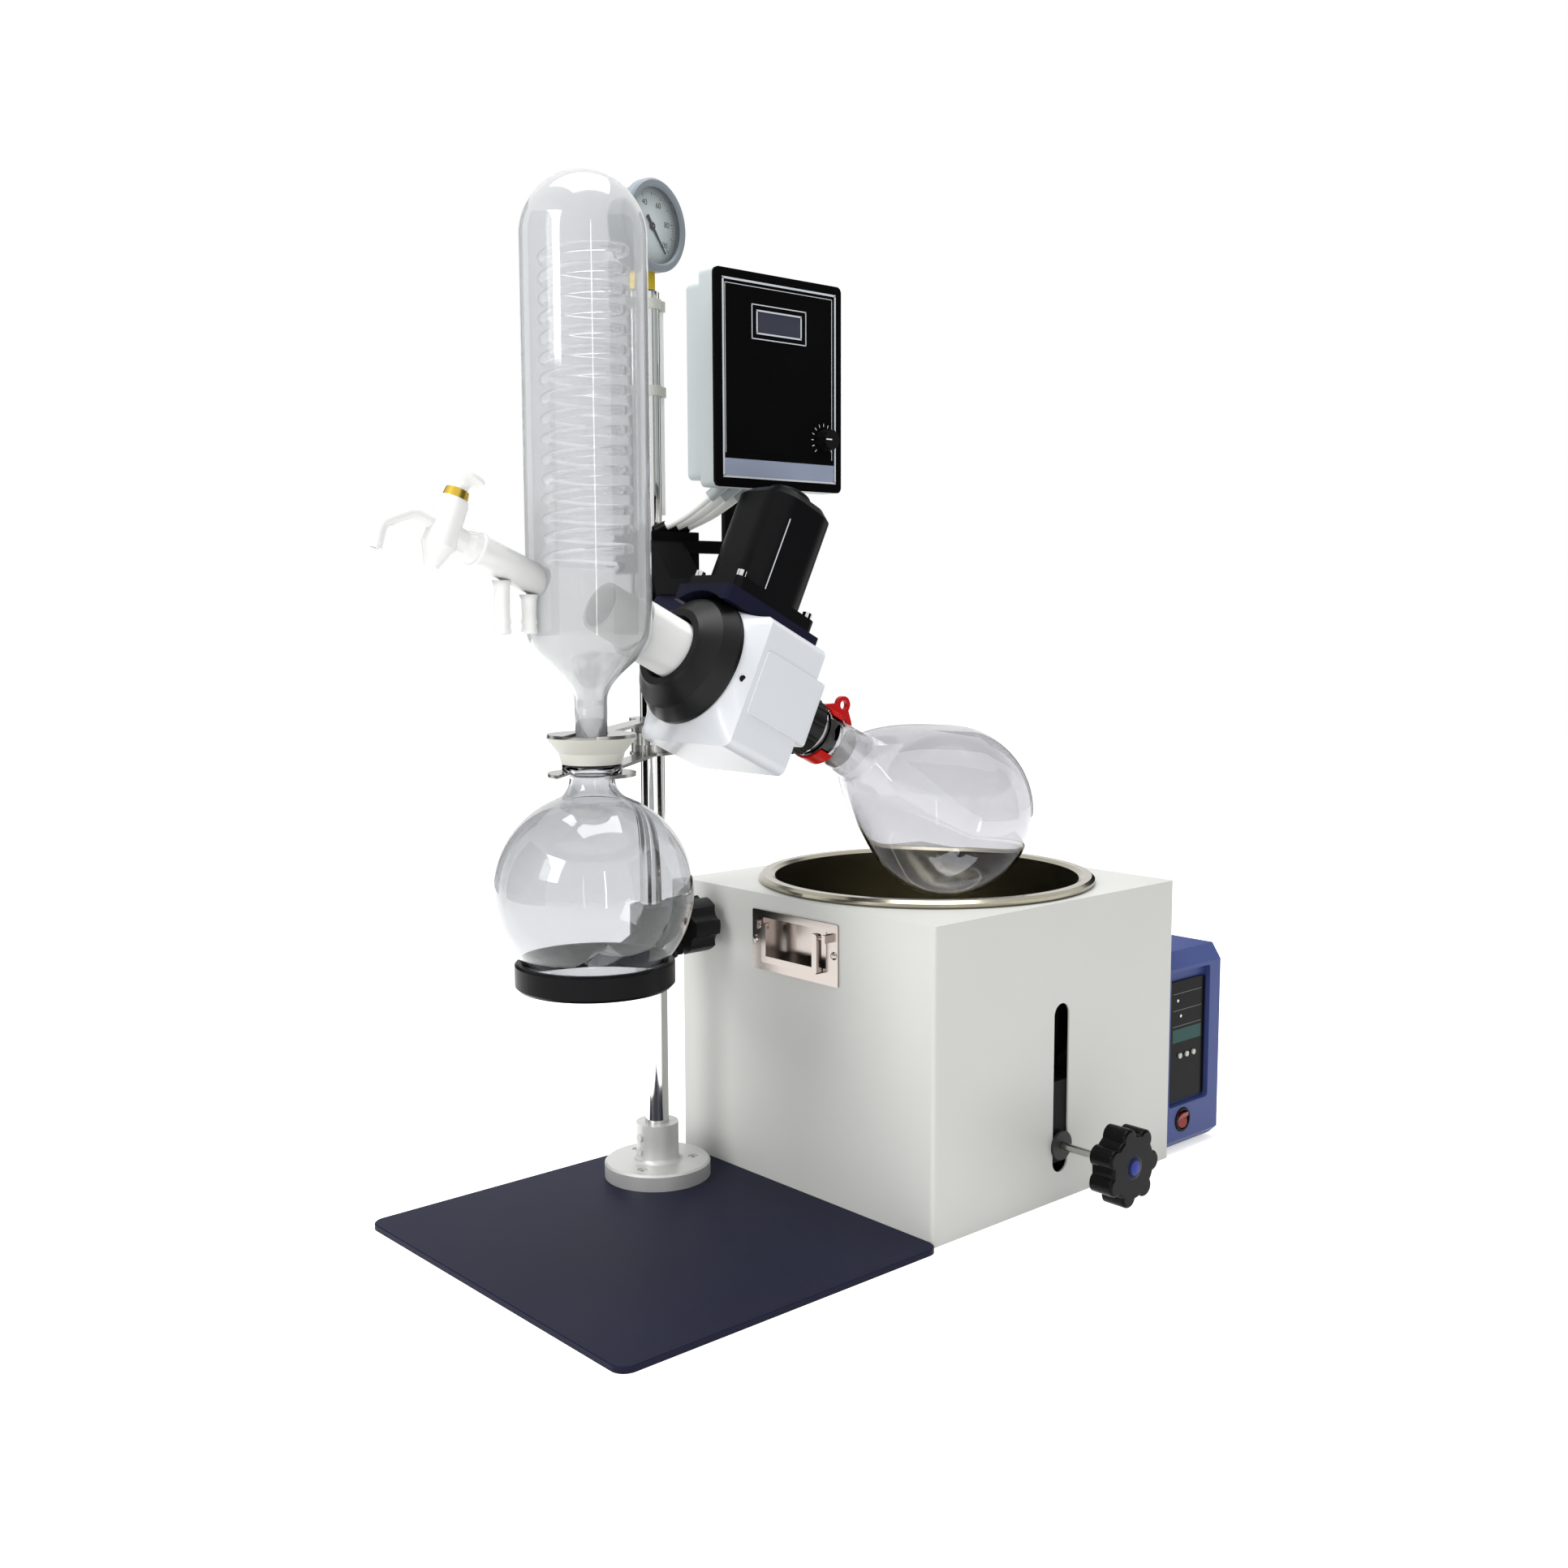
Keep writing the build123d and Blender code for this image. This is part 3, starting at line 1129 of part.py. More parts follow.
# Lift carriage: the heater under the tub, its plate, the rod bushes and the strip at the slot
heater_low = tub_floor - heater_thick
carriage_low = heater_low - carriage_thick
strip_y = bath_front + bath_wall + free_gap
with BuildPart() as lift_carriage:
    with BuildSketch(Plane.XY.offset(carriage_low)):
        with Locations(tub_axis):
            Circle(carriage_r)
        for spot in rod_spots:
            with Locations(spot):
                Circle(bush_r)
            with Locations(((spot[0] + bath_x) / 2, bath_y + rod_offset - 30)):
                Rectangle(rod_offset, 40)
        with Locations((bath_x, (strip_y + bath_y) / 2)):
            Rectangle(guide_strip_width, bath_y - strip_y)
    extrude(amount=carriage_thick)
    with BuildSketch(Plane.XY.offset(heater_low)):
        with Locations(tub_axis):
            Circle(heater_r)
            Circle(20, mode=Mode.SUBTRACT)
    extrude(amount=heater_thick)
    for spot in rod_spots:
        with BuildSketch(Plane.XY.offset(carriage_low - bush_length)):
            with Locations(spot):
                Circle(bush_r)
        extrude(amount=bush_length)
    with BuildSketch(Plane.XY.offset(spindle_z - 18)):
        with Locations((bath_x, strip_y + guide_strip_thick / 2)):
            Rectangle(guide_strip_width, guide_strip_thick)
    extrude(amount=carriage_low - spindle_z + 18)
    for spot in rod_spots:
        rod((*spot, carriage_low - bush_length - 1), (*spot, tub_floor), rod_r + fit_gap,
            mode=Mode.SUBTRACT)
    rod((bath_x, strip_y - 1, spindle_z), (bath_x, strip_y + 20, spindle_z), spindle_r + fit_gap,
        mode=Mode.SUBTRACT)

# Lock spindle: the screw through the slot, with its washer against the casing
knob_back_y = bath_front + knob_front + knob_thick
with BuildPart() as lock_spindle:
    rod((bath_x, knob_back_y - 12, spindle_z), (bath_x, strip_y + guide_strip_thick + 10, spindle_z),
        spindle_r)
    rod((bath_x, bath_front - free_gap - 3, spindle_z), (bath_x, bath_front - free_gap, spindle_z), 15)

# Star knob: a moulded hand knob with seven lobes and a plain domed cap
with BuildPart() as star_knob:
    with BuildSketch(Plane.XZ.offset(-knob_back_y)):
        with Locations((bath_x, spindle_z)):
            Circle(knob_r - 7)
            with PolarLocations(knob_r - 10, knob_lobes):
                Circle(10.5)
    extrude(amount=knob_thick)
    fillet(star_knob.faces().sort_by(Axis.Y)[0].edges(), 3)
    with BuildSketch(Plane.XZ.offset(-knob_back_y)):
        with Locations((bath_x, spindle_z)):
            Circle(knob_hub_r)
    extrude(amount=-14, taper=-10)
    with BuildSketch(Plane.XZ.offset(-knob_back_y - 14)):
        with Locations((bath_x, spindle_z)):
            Circle(spindle_r + fit_gap)
    extrude(amount=26.5, mode=Mode.SUBTRACT)
    turn(Plane(origin=(bath_x, bath_front + knob_front, spindle_z), x_dir=(0, -1, 0),
               z_dir=(-1, 0, 0)),
         (-1, 0), (-1, cap_r), (0.6, cap_r - 1), (1.2, cap_r - 4), (1.4, 0))

# Handles, one on each side: a screwed tray with a cup, and a bail hinged between its lugs
bail_top = tray_top - 15
bail_out = tray_thick + 1 + bail_rod_r
trays = {}
bails = {}
for label, side_x, out in (("left", bath_left, -1), ("right", bath_right, 1)):
    face = Plane(origin=(side_x, tray_mid_y, 0), x_dir=(0, out, 0), z_dir=(out, 0, 0))
    hinge_x = side_x + out * bail_out
    with BuildPart() as tray:
        with BuildSketch(face):
            with Locations((0, tray_mid_z)):
                RectangleRounded(tray_width, tray_height, 2)
        extrude(amount=tray_thick)
        with BuildSketch(face):
            with Locations((0, cup_mid_z)):
                Rectangle(cup_width, cup_height)
        extrude(amount=-cup_depth)
        with BuildSketch(face.offset(tray_thick)):
            with Locations((0, cup_mid_z)):
                Rectangle(cup_width - 2 * cup_wall, cup_height - 2 * cup_wall)
        extrude(amount=-(cup_depth + tray_thick - cup_wall), mode=Mode.SUBTRACT)
        with BuildSketch(face):
            with Locations((0, bail_top)):
                with GridLocations(cup_width + 5, 0, 2, 1):
                    Rectangle(5, 8)
        extrude(amount=bail_out + bail_pin_r + 1)
        for side in (-1, 1):
            rod((hinge_x, tray_mid_y + side * (cup_width / 2 + 1), bail_top),
                (hinge_x, tray_mid_y + side * (bail_width / 2 - 5), bail_top), bail_pin_r)
            turn(Plane(origin=(side_x, tray_mid_y + side * (tray_width - 11) / 2, tray_mid_z),
                       x_dir=(out, 0, 0), z_dir=(0, 1, 0)),
                 (tray_thick, 0), (tray_thick, 4.2), (tray_thick + 1, 3.8), (tray_thick + 1.8, 2),
                 (tray_thick + 2, 0))
    trays[label] = tray
    with BuildPart() as bail:
        with BuildSketch(Plane.YZ.offset(hinge_x - bail_rod_r)):
            with Locations((tray_mid_y, bail_top - bail_drop / 2)):
                RectangleRounded(bail_width, bail_drop + 2 * bail_rod_r, 3)
                with Locations((0, 2 * bail_rod_r)):
                    Rectangle(bail_width - 4 * bail_rod_r, bail_drop + 2 * bail_rod_r,
                              mode=Mode.SUBTRACT)
        extrude(amount=2 * bail_rod_r)
        rod((hinge_x, tray_mid_y - bail_width, bail_top), (hinge_x, tray_mid_y + bail_width, bail_top),
            bail_pin_r + fit_gap, mode=Mode.SUBTRACT)
    bails[label] = bail

# Controller housing: a moulded box on the bath's right side with a hooded, sunk front panel
ctrl_left = bath_right
ctrl_front = bath_front + ctrl_setback
ctrl_top = ctrl_bottom + ctrl_height
panel_mid = (ctrl_left + ctrl_panel_x + ctrl_panel_width / 2, ctrl_panel_z + ctrl_panel_height / 2)
button_spots = [(panel_mid[0] + (n - 1) * button_pitch, button_z) for n in range(3)]
switch_spot = (ctrl_left + switch_x, switch_z)
panel_y = ctrl_front + ctrl_panel_sink
with BuildPart() as controller_housing:
    with BuildSketch(Plane.YZ.offset(ctrl_left)):
        with BuildLine():
            Polyline((ctrl_front, ctrl_bottom + 10), (ctrl_front + 10, ctrl_bottom),
                     (ctrl_front + ctrl_depth, ctrl_bottom), (ctrl_front + ctrl_depth, ctrl_top),
                     (ctrl_front + ctrl_hood / 3, ctrl_top), (ctrl_front, ctrl_top - ctrl_hood / 2),
                     close=True)
        make_face()
    extrude(amount=ctrl_width)
    chamfer(controller_housing.faces().sort_by(Axis.X)[-1].edges(), ctrl_corner / 2)
    with BuildSketch(Plane.XZ.offset(-ctrl_front)):
        with Locations((panel_mid[0] - 1, panel_mid[1] + 4)):
            RectangleRounded(ctrl_panel_width + 6, ctrl_panel_height + 16, 4)
    extrude(amount=-ctrl_panel_sink - 3, mode=Mode.SUBTRACT)
    rod((switch_spot[0], ctrl_front - 1, switch_z), (switch_spot[0], ctrl_front + 22, switch_z),
        switch_r - 2, mode=Mode.SUBTRACT)

# Controller panel: the black display plate and the round surround of the power switch
with BuildPart() as controller_panel:
    with BuildSketch(Plane.XZ.offset(-panel_y - 3)):
        with Locations(panel_mid):
            RectangleRounded(ctrl_panel_width, ctrl_panel_height, 3)
        with Locations(*button_spots):
            Circle(button_r + fit_gap, mode=Mode.SUBTRACT)
    extrude(amount=3)
    turn(Plane(origin=(switch_spot[0], ctrl_front, switch_z), x_dir=(0, -1, 0), z_dir=(-1, 0, 0)),
         (-18, 9.6), (-18, switch_r - 2 - fit_gap), (0, switch_r - 2 - fit_gap), (0, switch_r),
         (1.6, switch_r - 1), (1.6, rocker_r + free_gap), (-10, rocker_r + free_gap), (-10, 9.6))

# Buttons: three small keys that press into the panel
buttons = []
for spot in button_spots:
    with BuildPart() as button:
        rod((spot[0], panel_y + 3 - button_travel - 0.4, spot[1]), (spot[0], panel_y - 1.8, spot[1]), button_r)
    buttons.append(button)

# Power rocker: a two-sided key in the round surround
with BuildPart() as power_rocker:
    with BuildSketch(Plane.YZ.offset(switch_spot[0] - rocker_r + 2)):
        with BuildLine():
            Polyline((ctrl_front + 6, switch_z - 8), (ctrl_front - 1.6, switch_z - 9),
                     (ctrl_front - 0.2, switch_z), (ctrl_front - 4.4, switch_z + 8.6),
                     (ctrl_front + 6, switch_z + 7), close=True)
        make_face()
    extrude(amount=2 * rocker_r - 4)
    with BuildSketch(Plane.XZ.offset(-ctrl_front + 8)):
        with Locations(switch_spot):
            Circle(rocker_r - rocker_play)
    extrude(amount=-20, mode=Mode.INTERSECT)
    rod((switch_spot[0] - rocker_r - 0.1, ctrl_front + 1, switch_z),
        (switch_spot[0] + rocker_r + 0.1, ctrl_front + 1, switch_z), rocker_pin_r)

parts = {
    "base_plate": base_plate, "column_flange": column_flange, "base_screws": base_screws,
    "column": column, "gauge_fitting": gauge_fitting, "gauge_case": gauge_case,
    "gauge_needle": gauge_needle, "gauge_window": gauge_window, "vacuum_pipe": vacuum_pipe,
    "pipe_clips": pipe_clips, "head_clamp": head_clamp, "head_screws": head_screws,
    "head_plate": head_plate, "gearbox": gearbox, "shaft_bearings": shaft_bearings,
    "ring_nut": ring_nut, "vapour_duct": vapour_duct, "hollow_shaft": hollow_shaft,
    "drive_gear": drive_gear, "motor_rotor": motor_rotor, "motor_housing": motor_housing,
    "pull_nut": pull_nut, "joint_clip": joint_clip, "evaporating_flask": evaporating_flask,
    "condenser_jacket": condenser_jacket, "condenser_coil": condenser_coil,
    "joint_cone": joint_cone, "receiving_flask": receiving_flask,
    "clamp_plate_top": clamp_plate_top, "clamp_plate_low": clamp_plate_low,
    "clamp_block": clamp_block, "clamp_lever": clamp_lever, "support_ring": support_ring,
    "ring_clamp": ring_clamp, "ring_knob": ring_knob, "feed_valve": feed_valve,
    "valve_plug": valve_plug, "box_post": box_post, "control_housing": control_housing,
    "control_bezel": control_bezel, "control_display": control_display,
    "speed_knob": speed_knob, "bath_casing": bath_casing, "tub": tub,
    "lift_carriage": lift_carriage, "lock_spindle": lock_spindle, "star_knob": star_knob,
    "controller_housing": controller_housing, "controller_panel": controller_panel,
    "power_rocker": power_rocker,
}
parts.update({f"lead_{n + 1}": lead for n, lead in enumerate(lead_parts)})
parts.update({f"handle_tray_{label}": tray for label, tray in trays.items()})
parts.update({f"handle_bail_{label}": bail for label, bail in bails.items()})
parts.update({f"button_{n + 1}": button for n, button in enumerate(buttons)})

for name, built in parts.items():
    built.part.label = name
    export_step(built.part, f"parts/{name}.step")
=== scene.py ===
"""Rotary evaporator: finishes, blown glass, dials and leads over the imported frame.

The origin is the column's axis on the table, +X runs from the stand to the bath, -Y is the
operator's side and +Z is up. Sizes are given in millimetres and meshes are made in metres. The
frame's solids keep their shapes. Glass, dial faces, printed lines and leads are made here as
surfaces worked out from a few sizes, which repeat those of the frame.
"""
from __future__ import annotations

import logging
import math
from dataclasses import dataclass

import bmesh
import bpy
import numpy as np
from mathutils import Matrix, Vector


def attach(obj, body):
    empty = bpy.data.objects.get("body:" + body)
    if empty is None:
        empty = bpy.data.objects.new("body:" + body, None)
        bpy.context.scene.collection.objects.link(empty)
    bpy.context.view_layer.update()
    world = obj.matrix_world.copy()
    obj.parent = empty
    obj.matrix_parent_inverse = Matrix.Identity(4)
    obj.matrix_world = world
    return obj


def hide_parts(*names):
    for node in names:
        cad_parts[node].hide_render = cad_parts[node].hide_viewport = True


log = logging.getLogger("rotary_evaporator")
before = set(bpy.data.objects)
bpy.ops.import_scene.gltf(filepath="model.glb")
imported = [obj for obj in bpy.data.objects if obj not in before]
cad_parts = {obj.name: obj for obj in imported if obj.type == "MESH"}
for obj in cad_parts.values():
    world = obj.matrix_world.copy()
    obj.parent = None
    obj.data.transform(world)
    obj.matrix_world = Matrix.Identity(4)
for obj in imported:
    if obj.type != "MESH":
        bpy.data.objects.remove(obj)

Point = tuple[float, float, float]
Pair = tuple[float, float]
Pairs = tuple[Pair, ...]
Array = np.ndarray
Rows = Array | list[tuple[float, ...]]
Material = bpy.types.Material
Object = bpy.types.Object
Socket = bpy.types.NodeSocket

MM = 0.001
# Points nearer than MERGE metres become one, and a radius under NO_RADIUS lies on the axis.
MERGE = 0.0001 * MM
NO_RADIUS = 1e-6
GLASS_WALL = 2.5
GLASS_IOR = 1.474
# How far a pattern is squeezed along X, Y and Z: not at all, or into marks of turning.
PLAIN = (1.0, 1.0, 1.0)
TURNED = (0.04, 0.04, 1.0)


def linear(hex_colour: str) -> tuple[float, float, float, float]:
    """Turn an sRGB hex colour into the linear colour that a shader socket takes.

    Args:
        hex_colour: Six hex digits, such as "1A2B3C".

    Returns:
        Red, green, blue and an alpha of 1, each from 0 to 1.
    """
    parts = np.array([int(hex_colour[i:i + 2], 16) for i in (0, 2, 4)]) / 255
    value = np.where(parts <= 0.04045, parts / 12.92, ((parts + 0.055) / 1.055) ** 2.4)
    return (*value.tolist(), 1.0)


class Nodes:
    """A node tree that is being written, with each kind of node named without ShaderNode."""

    def __init__(self, owner: Material | bpy.types.World) -> None:
        """Empty the tree of a material or a world."""
        owner.use_nodes = True
        self.tree = owner.node_tree
        self.tree.nodes.clear()

    def node(self, kind: str, inputs: dict | None = None, **settings: object) -> bpy.types.Node:
        """Add a node with its settings, values and links.

        Args:
            kind: The node's type name after ShaderNode.
            inputs: Input names or numbers, each with a value, or a socket to link from.
            **settings: Attributes of the node itself.

        Returns:
            The new node.
        """
        made = self.tree.nodes.new("ShaderNode" + kind)
        for name, value in settings.items():
            setattr(made, name, value)
        for key, value in (inputs or {}).items():
            if isinstance(value, Socket):
                self.tree.links.new(value, made.inputs[key])
            else:
                made.inputs[key].default_value = value
        return made

    def add(self, kind: str, inputs: dict | None = None, output: int | str = 0,
            **settings: object) -> Socket:
        """Add a node as node does, and give one of its outputs."""
        return self.node(kind, inputs, **settings).outputs[output]

    def maths(self, operation: str, first: Socket | float, second: Socket | float) -> Socket:
        """Join two values by an operation, such as MULTIPLY."""
        return self.add("Math", {0: first, 1: second}, operation=operation)

    def spread(self, value: Socket, low: float, high: float) -> Socket:
        """Stretch a value of 0 to 1 over a range."""
        return self.add("MapRange", {"Value": value, "To Min": low, "To Max": high})

    def blend(self, share: Socket, first: Socket, second: Socket) -> Socket:
        """Mix two shaders, from the first at a share of 0 to the second at 1."""
        return self.add("MixShader", {0: share, 1: first, 2: second})


class Paint(Nodes):
    """A material that is being written, whose patterns read Object coordinates."""

    def __init__(self, name: str) -> None:
        """Start an empty material."""
        self.material = bpy.data.materials.new(name)
        super().__init__(self.material)
        self.coords = self.add("TexCoord", output="Object")

    def noise(self, size: float, detail: float, places: Socket | None = None,
              roughness: float = 0.5) -> Socket:
        """Add a noise pattern.

        Args:
            size: The size of its spots.
            detail: How many finer layers it has.
            places: Coordinates to read in place of the plain ones.
            roughness: How strong the finer layers are.

        Returns:
            The pattern's value, from 0 to 1.
        """
        return self.add("TexNoise", {"Vector": self.coords if places is None else places,
                                     "Scale": 1 / (size * MM), "Detail": detail,
                                     "Roughness": roughness})

    def bump(self, height: Socket, strength: float, relief: float) -> Socket:
        """Turn a pattern into a relief of the surface, so many millimetres high."""
        return self.add("Bump", {"Height": height, "Strength": strength, "Distance": relief * MM})

    def surface(self, colour: Socket | tuple[float, ...], roughness: Socket | float,
                inputs: dict | None = None) -> Socket:
        """Add a principled shader with a colour, a roughness and other inputs."""
        return self.add("BsdfPrincipled",
                        {"Base Color": colour, "Roughness": roughness, **(inputs or {})})

    def done(self, shader: Socket) -> Material:
        """Link a shader to the output, and give the material."""
        self.node("OutputMaterial", {"Surface": shader})
        return self.material


@dataclass(frozen=True)
class Finish:
    """An opaque finish: a colour with fine grain, slow colour drift and uneven gloss.

    Attributes:
        name: The real material and how its surface was made.
        colour: sRGB hex of the clean surface.
        roughness: Mean roughness.
        metallic: 1 for bare metal.
        coat: Strength of a clear lacquer.
        grain: Size of the surface grain.
        relief: Height of the grain.
        drift: How much the colour varies over the surface.
        lay: Direction of its marks, PLAIN or TURNED.
        specular: How strongly a dark surface mirrors, 0.5 for a fresh gloss.
    """

    name: str
    colour: str
    roughness: float
    metallic: float = 0.0
    coat: float = 0.0
    grain: float = 1.2
    relief: float = 0.02
    drift: float = 0.04
    lay: Point = PLAIN
    specular: float = 0.5
    drift_size = 90.0
    gloss_swing = 0.06
    least_gloss = 0.02

    def build(self) -> Material:
        """Build the material: the grain sets gloss and relief, a slow noise the colour."""
        paint = Paint(self.name)
        stretched = paint.add("Mapping", {"Vector": paint.coords, "Scale": self.lay})
        grain = paint.noise(self.grain, 3.0, stretched, 0.6)
        base = linear(self.colour)[:3]
        dim = (*(c * (1 - self.drift) for c in base), 1.0)
        lift = (*(min(1.0, c * (1 + self.drift) + 0.002) for c in base), 1.0)
        colour = paint.add("Mix", {0: paint.noise(self.drift_size, 2.0), 6: dim, 7: lift}, 2,
                           data_type="RGBA")
        gloss = paint.spread(grain, max(self.least_gloss, self.roughness - self.gloss_swing),
                             min(1.0, self.roughness + self.gloss_swing))
        return paint.done(paint.surface(colour, gloss, {
            "Metallic": self.metallic, "Coat Weight": self.coat,
            "Specular IOR Level": self.specular, "Normal": paint.bump(grain, 0.6, self.relief)}))


@dataclass(frozen=True)
class ClearGlass:
    """Borosilicate glass, fire polished: clear with a faint grey body, and slightly waved.

    Attributes:
        name: The real material and how its surface was made.
        tint: sRGB hex of its body.
        specular: How strongly it mirrors the white surround.
    """

    name: str = "borosilicate glass, blown"
    tint: str = "DBDBDE"
    specular: float = 0.28
    wave_size = 45.0
    wave_height = 0.05

    def build(self) -> Material:
        """Build the glass: a refracting shader whose surface waves as blown glass does."""
        paint = Paint(self.name)
        wave = paint.bump(paint.noise(self.wave_size, 1.0), 0.3, self.wave_height)
        return paint.done(paint.surface(linear(self.tint), 0.0, {
            "IOR": GLASS_IOR, "Transmission Weight": 1.0, "Specular IOR Level": self.specular,
            "Normal": wave}))


@dataclass(frozen=True)
class MistedGlass:
    """Glass whose ground or steamed face scatters part of the light: a milky veil over it.

    Attributes:
        name: The real material and how its surface was made.
        veil: sRGB hex of the scattered light.
        share: How much of the light the veil scatters.
        roughness: How blurred the view through the glass is.
    """

    name: str
    veil: str
    share: float
    roughness: float = 0.15
    body = "F0F1F2"
    patch_size = 60.0
    patchiness = 0.05
    veil_matt = 0.04

    def build(self) -> Material:
        """Build the glass: a diffuse veil, slightly patchy, mixed over a refracting body."""
        paint = Paint(self.name)
        share = paint.spread(paint.noise(self.patch_size, 2.0), self.share * (1 - self.patchiness),
                             min(1.0, self.share * (1 + self.patchiness)))
        body = paint.surface(linear(self.body), self.roughness,
                             {"IOR": GLASS_IOR, "Transmission Weight": 1.0})
        veil = paint.surface(linear(self.veil), self.roughness + self.veil_matt)
        return paint.done(paint.blend(share, body, veil))


@dataclass(frozen=True)
class WindowGlass:
    """A thin flat pane: clear, with a mirror sheen that grows towards its edge."""

    name: str = "window glass, drawn flat"
    tint: str = "F2F4F4"
    ior: float = 1.45
    dust_size: float = 8.0

    def build(self) -> Material:
        """Build the pane: a clear pass mixed with a polished sheen by the angle of view."""
        paint = Paint(self.name)
        gloss = paint.spread(paint.noise(self.dust_size, 3.0), 0.01, 0.06)
        clear = paint.add("BsdfTransparent", {"Color": linear(self.tint)})
        sheen = paint.add("BsdfGlossy", {"Color": linear("FFFFFF"), "Roughness": gloss})
        front = paint.maths("SUBTRACT", 1.0, paint.add("NewGeometry", output="Backfacing"))
        share = paint.maths("MULTIPLY", paint.add("Fresnel", {"IOR": self.ior}), front)
        return paint.done(paint.blend(share, clear, sheen))


@dataclass(frozen=True)
class BandedFinish:
    """Two finishes on one piece, parted by a plane: the second lies beyond the plane.

    Attributes:
        name: The piece's finish in words.
        near: sRGB hex before the plane.
        far: sRGB hex beyond the plane.
        through: A point on the plane.
        normal: The plane's normal.
        roughness: Roughness before and beyond the plane.
        metallic: Metallic before and beyond the plane.
        depth: How far the second finish reaches beyond the plane.
    """

    name: str
    near: str
    far: str
    through: Point
    normal: Point
    roughness: Pair
    metallic: Pair
    depth: float = 10000.0
    grain = 1.2
    relief = 0.02

    def build(self) -> Material:
        """Build both finishes and mix them by the distance from the plane."""
        paint = Paint(self.name)
        away = paint.add("VectorMath", {0: paint.coords, 1: [v * MM for v in self.through]},
                         operation="SUBTRACT")
        reach = paint.add("VectorMath", {0: away, 1: self.normal}, "Value",
                          operation="DOT_PRODUCT")
        mask = paint.maths("MULTIPLY", paint.maths("GREATER_THAN", reach, 0.0),
                           paint.maths("LESS_THAN", reach, self.depth * MM))
        bump = paint.bump(paint.noise(self.grain, 2.0), 0.4, self.relief)
        sides = [paint.surface(linear(colour), rough, {"Metallic": metal, "Normal": bump})
                 for colour, rough, metal in zip((self.near, self.far), self.roughness,
                                                 self.metallic)]
        return paint.done(paint.blend(mask, *sides))


@dataclass(frozen=True)
class Axis:
    """A placed line: a point on it, the direction along it and the direction called up.

    Beside is up crossed with along: to one who looks at a face against its along, it is right.
    """

    origin: Point | Array
    along: Point | Array
    up: Point | Array

    def beside(self) -> Array:
        """Give the direction beside the line."""
        return np.cross(self.up, self.along)

    def at(self, station: Array | float, height: Array | float = 0.0,
           side: Array | float = 0.0) -> Array:
        """Give points, x, y, z last: origin + station * along + height * up + side * beside."""
        parts = np.stack(np.broadcast_arrays(station, height, side), -1)
        return np.array(self.origin) + parts @ np.array([self.along, self.up, self.beside()])


def place(name: str, data: bpy.types.ID, body: str | None = None) -> Object:
    """Put a mesh or a curve into the scene and report it.

    Args:
        name: The piece's name.
        data: Its mesh or curve.
        body: The body that the piece moves with, or None for a part of the stage.

    Returns:
        The new object.
    """
    piece = bpy.data.objects.new(name, data)
    bpy.context.scene.collection.objects.link(piece)
    if body is None:
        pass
    else:
        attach(piece, body)
    log.info("%s made", name)
    return piece


def shell(name: str, points: Array, faces: list[list[int]], material: Material, body: str,
          smooth: bool = True) -> Object:
    """Make a closed piece, with its doubled points merged and its faces turned outwards.

    Args:
        name: The piece's name.
        points: Vertices in millimetres, one row each.
        faces: Vertex numbers of each face.
        material: Its material.
        body: The body that it moves with.
        smooth: True for a curved surface.

    Returns:
        The new object.
    """
    mesh = bpy.data.meshes.new(name)
    mesh.from_pydata((points * MM).tolist(), [], faces)
    mesh.materials.append(material)
    mesh.polygons.foreach_set("use_smooth", np.full(len(mesh.polygons), smooth))
    skin = bmesh.new()
    skin.from_mesh(mesh)
    bmesh.ops.remove_doubles(skin, verts=skin.verts, dist=MERGE)
    bmesh.ops.recalc_face_normals(skin, faces=skin.faces)
    skin.to_mesh(mesh)
    skin.free()
    return place(name, mesh, body)


def ring_faces(rings: int, segments: int) -> list[list[int]]:
    """Number the quads between rings of points.

    Args:
        rings: How many rings there are.
        segments: Points in each ring.

    Returns:
        Four vertex numbers for each quad.
    """
    ring, point = np.meshgrid(np.arange(rings - 1), np.arange(segments), indexing="ij")
    after = (point + 1) % segments
    quads = [ring * segments + point, ring * segments + after, (ring + 1) * segments + after,
             (ring + 1) * segments + point]
    return np.stack(quads, -1).reshape(-1, 4).tolist()


def lathe(name: str, axis: Axis, profile: Rows, material: Material, segments: int,
          body: str = "stand") -> Object:
    """Spin a profile of (distance along, radius) about an axis.

    A point is origin + distance * along + radius * (cos(angle) * up + sin(angle) * beside). The
    profile ends on the axis at both ends, where its points merge, or else closes on itself.

    Args:
        name: The piece's name.
        axis: The axis.
        profile: Distances and radii, outside first.
        material: Its material.
        segments: Steps round the axis.
        body: The body that it moves with.

    Returns:
        The new object.
    """
    line = np.array(profile, float)
    if line[0, 1] > NO_RADIUS:
        line = np.vstack([line, line[:1]])
    angle = np.linspace(0, 2 * math.pi, segments, endpoint=False)
    points = axis.at(line[:, :1], line[:, 1:] * np.cos(angle), line[:, 1:] * np.sin(angle))
    return shell(name, points.reshape(-1, 3), ring_faces(len(line), segments), material, body)


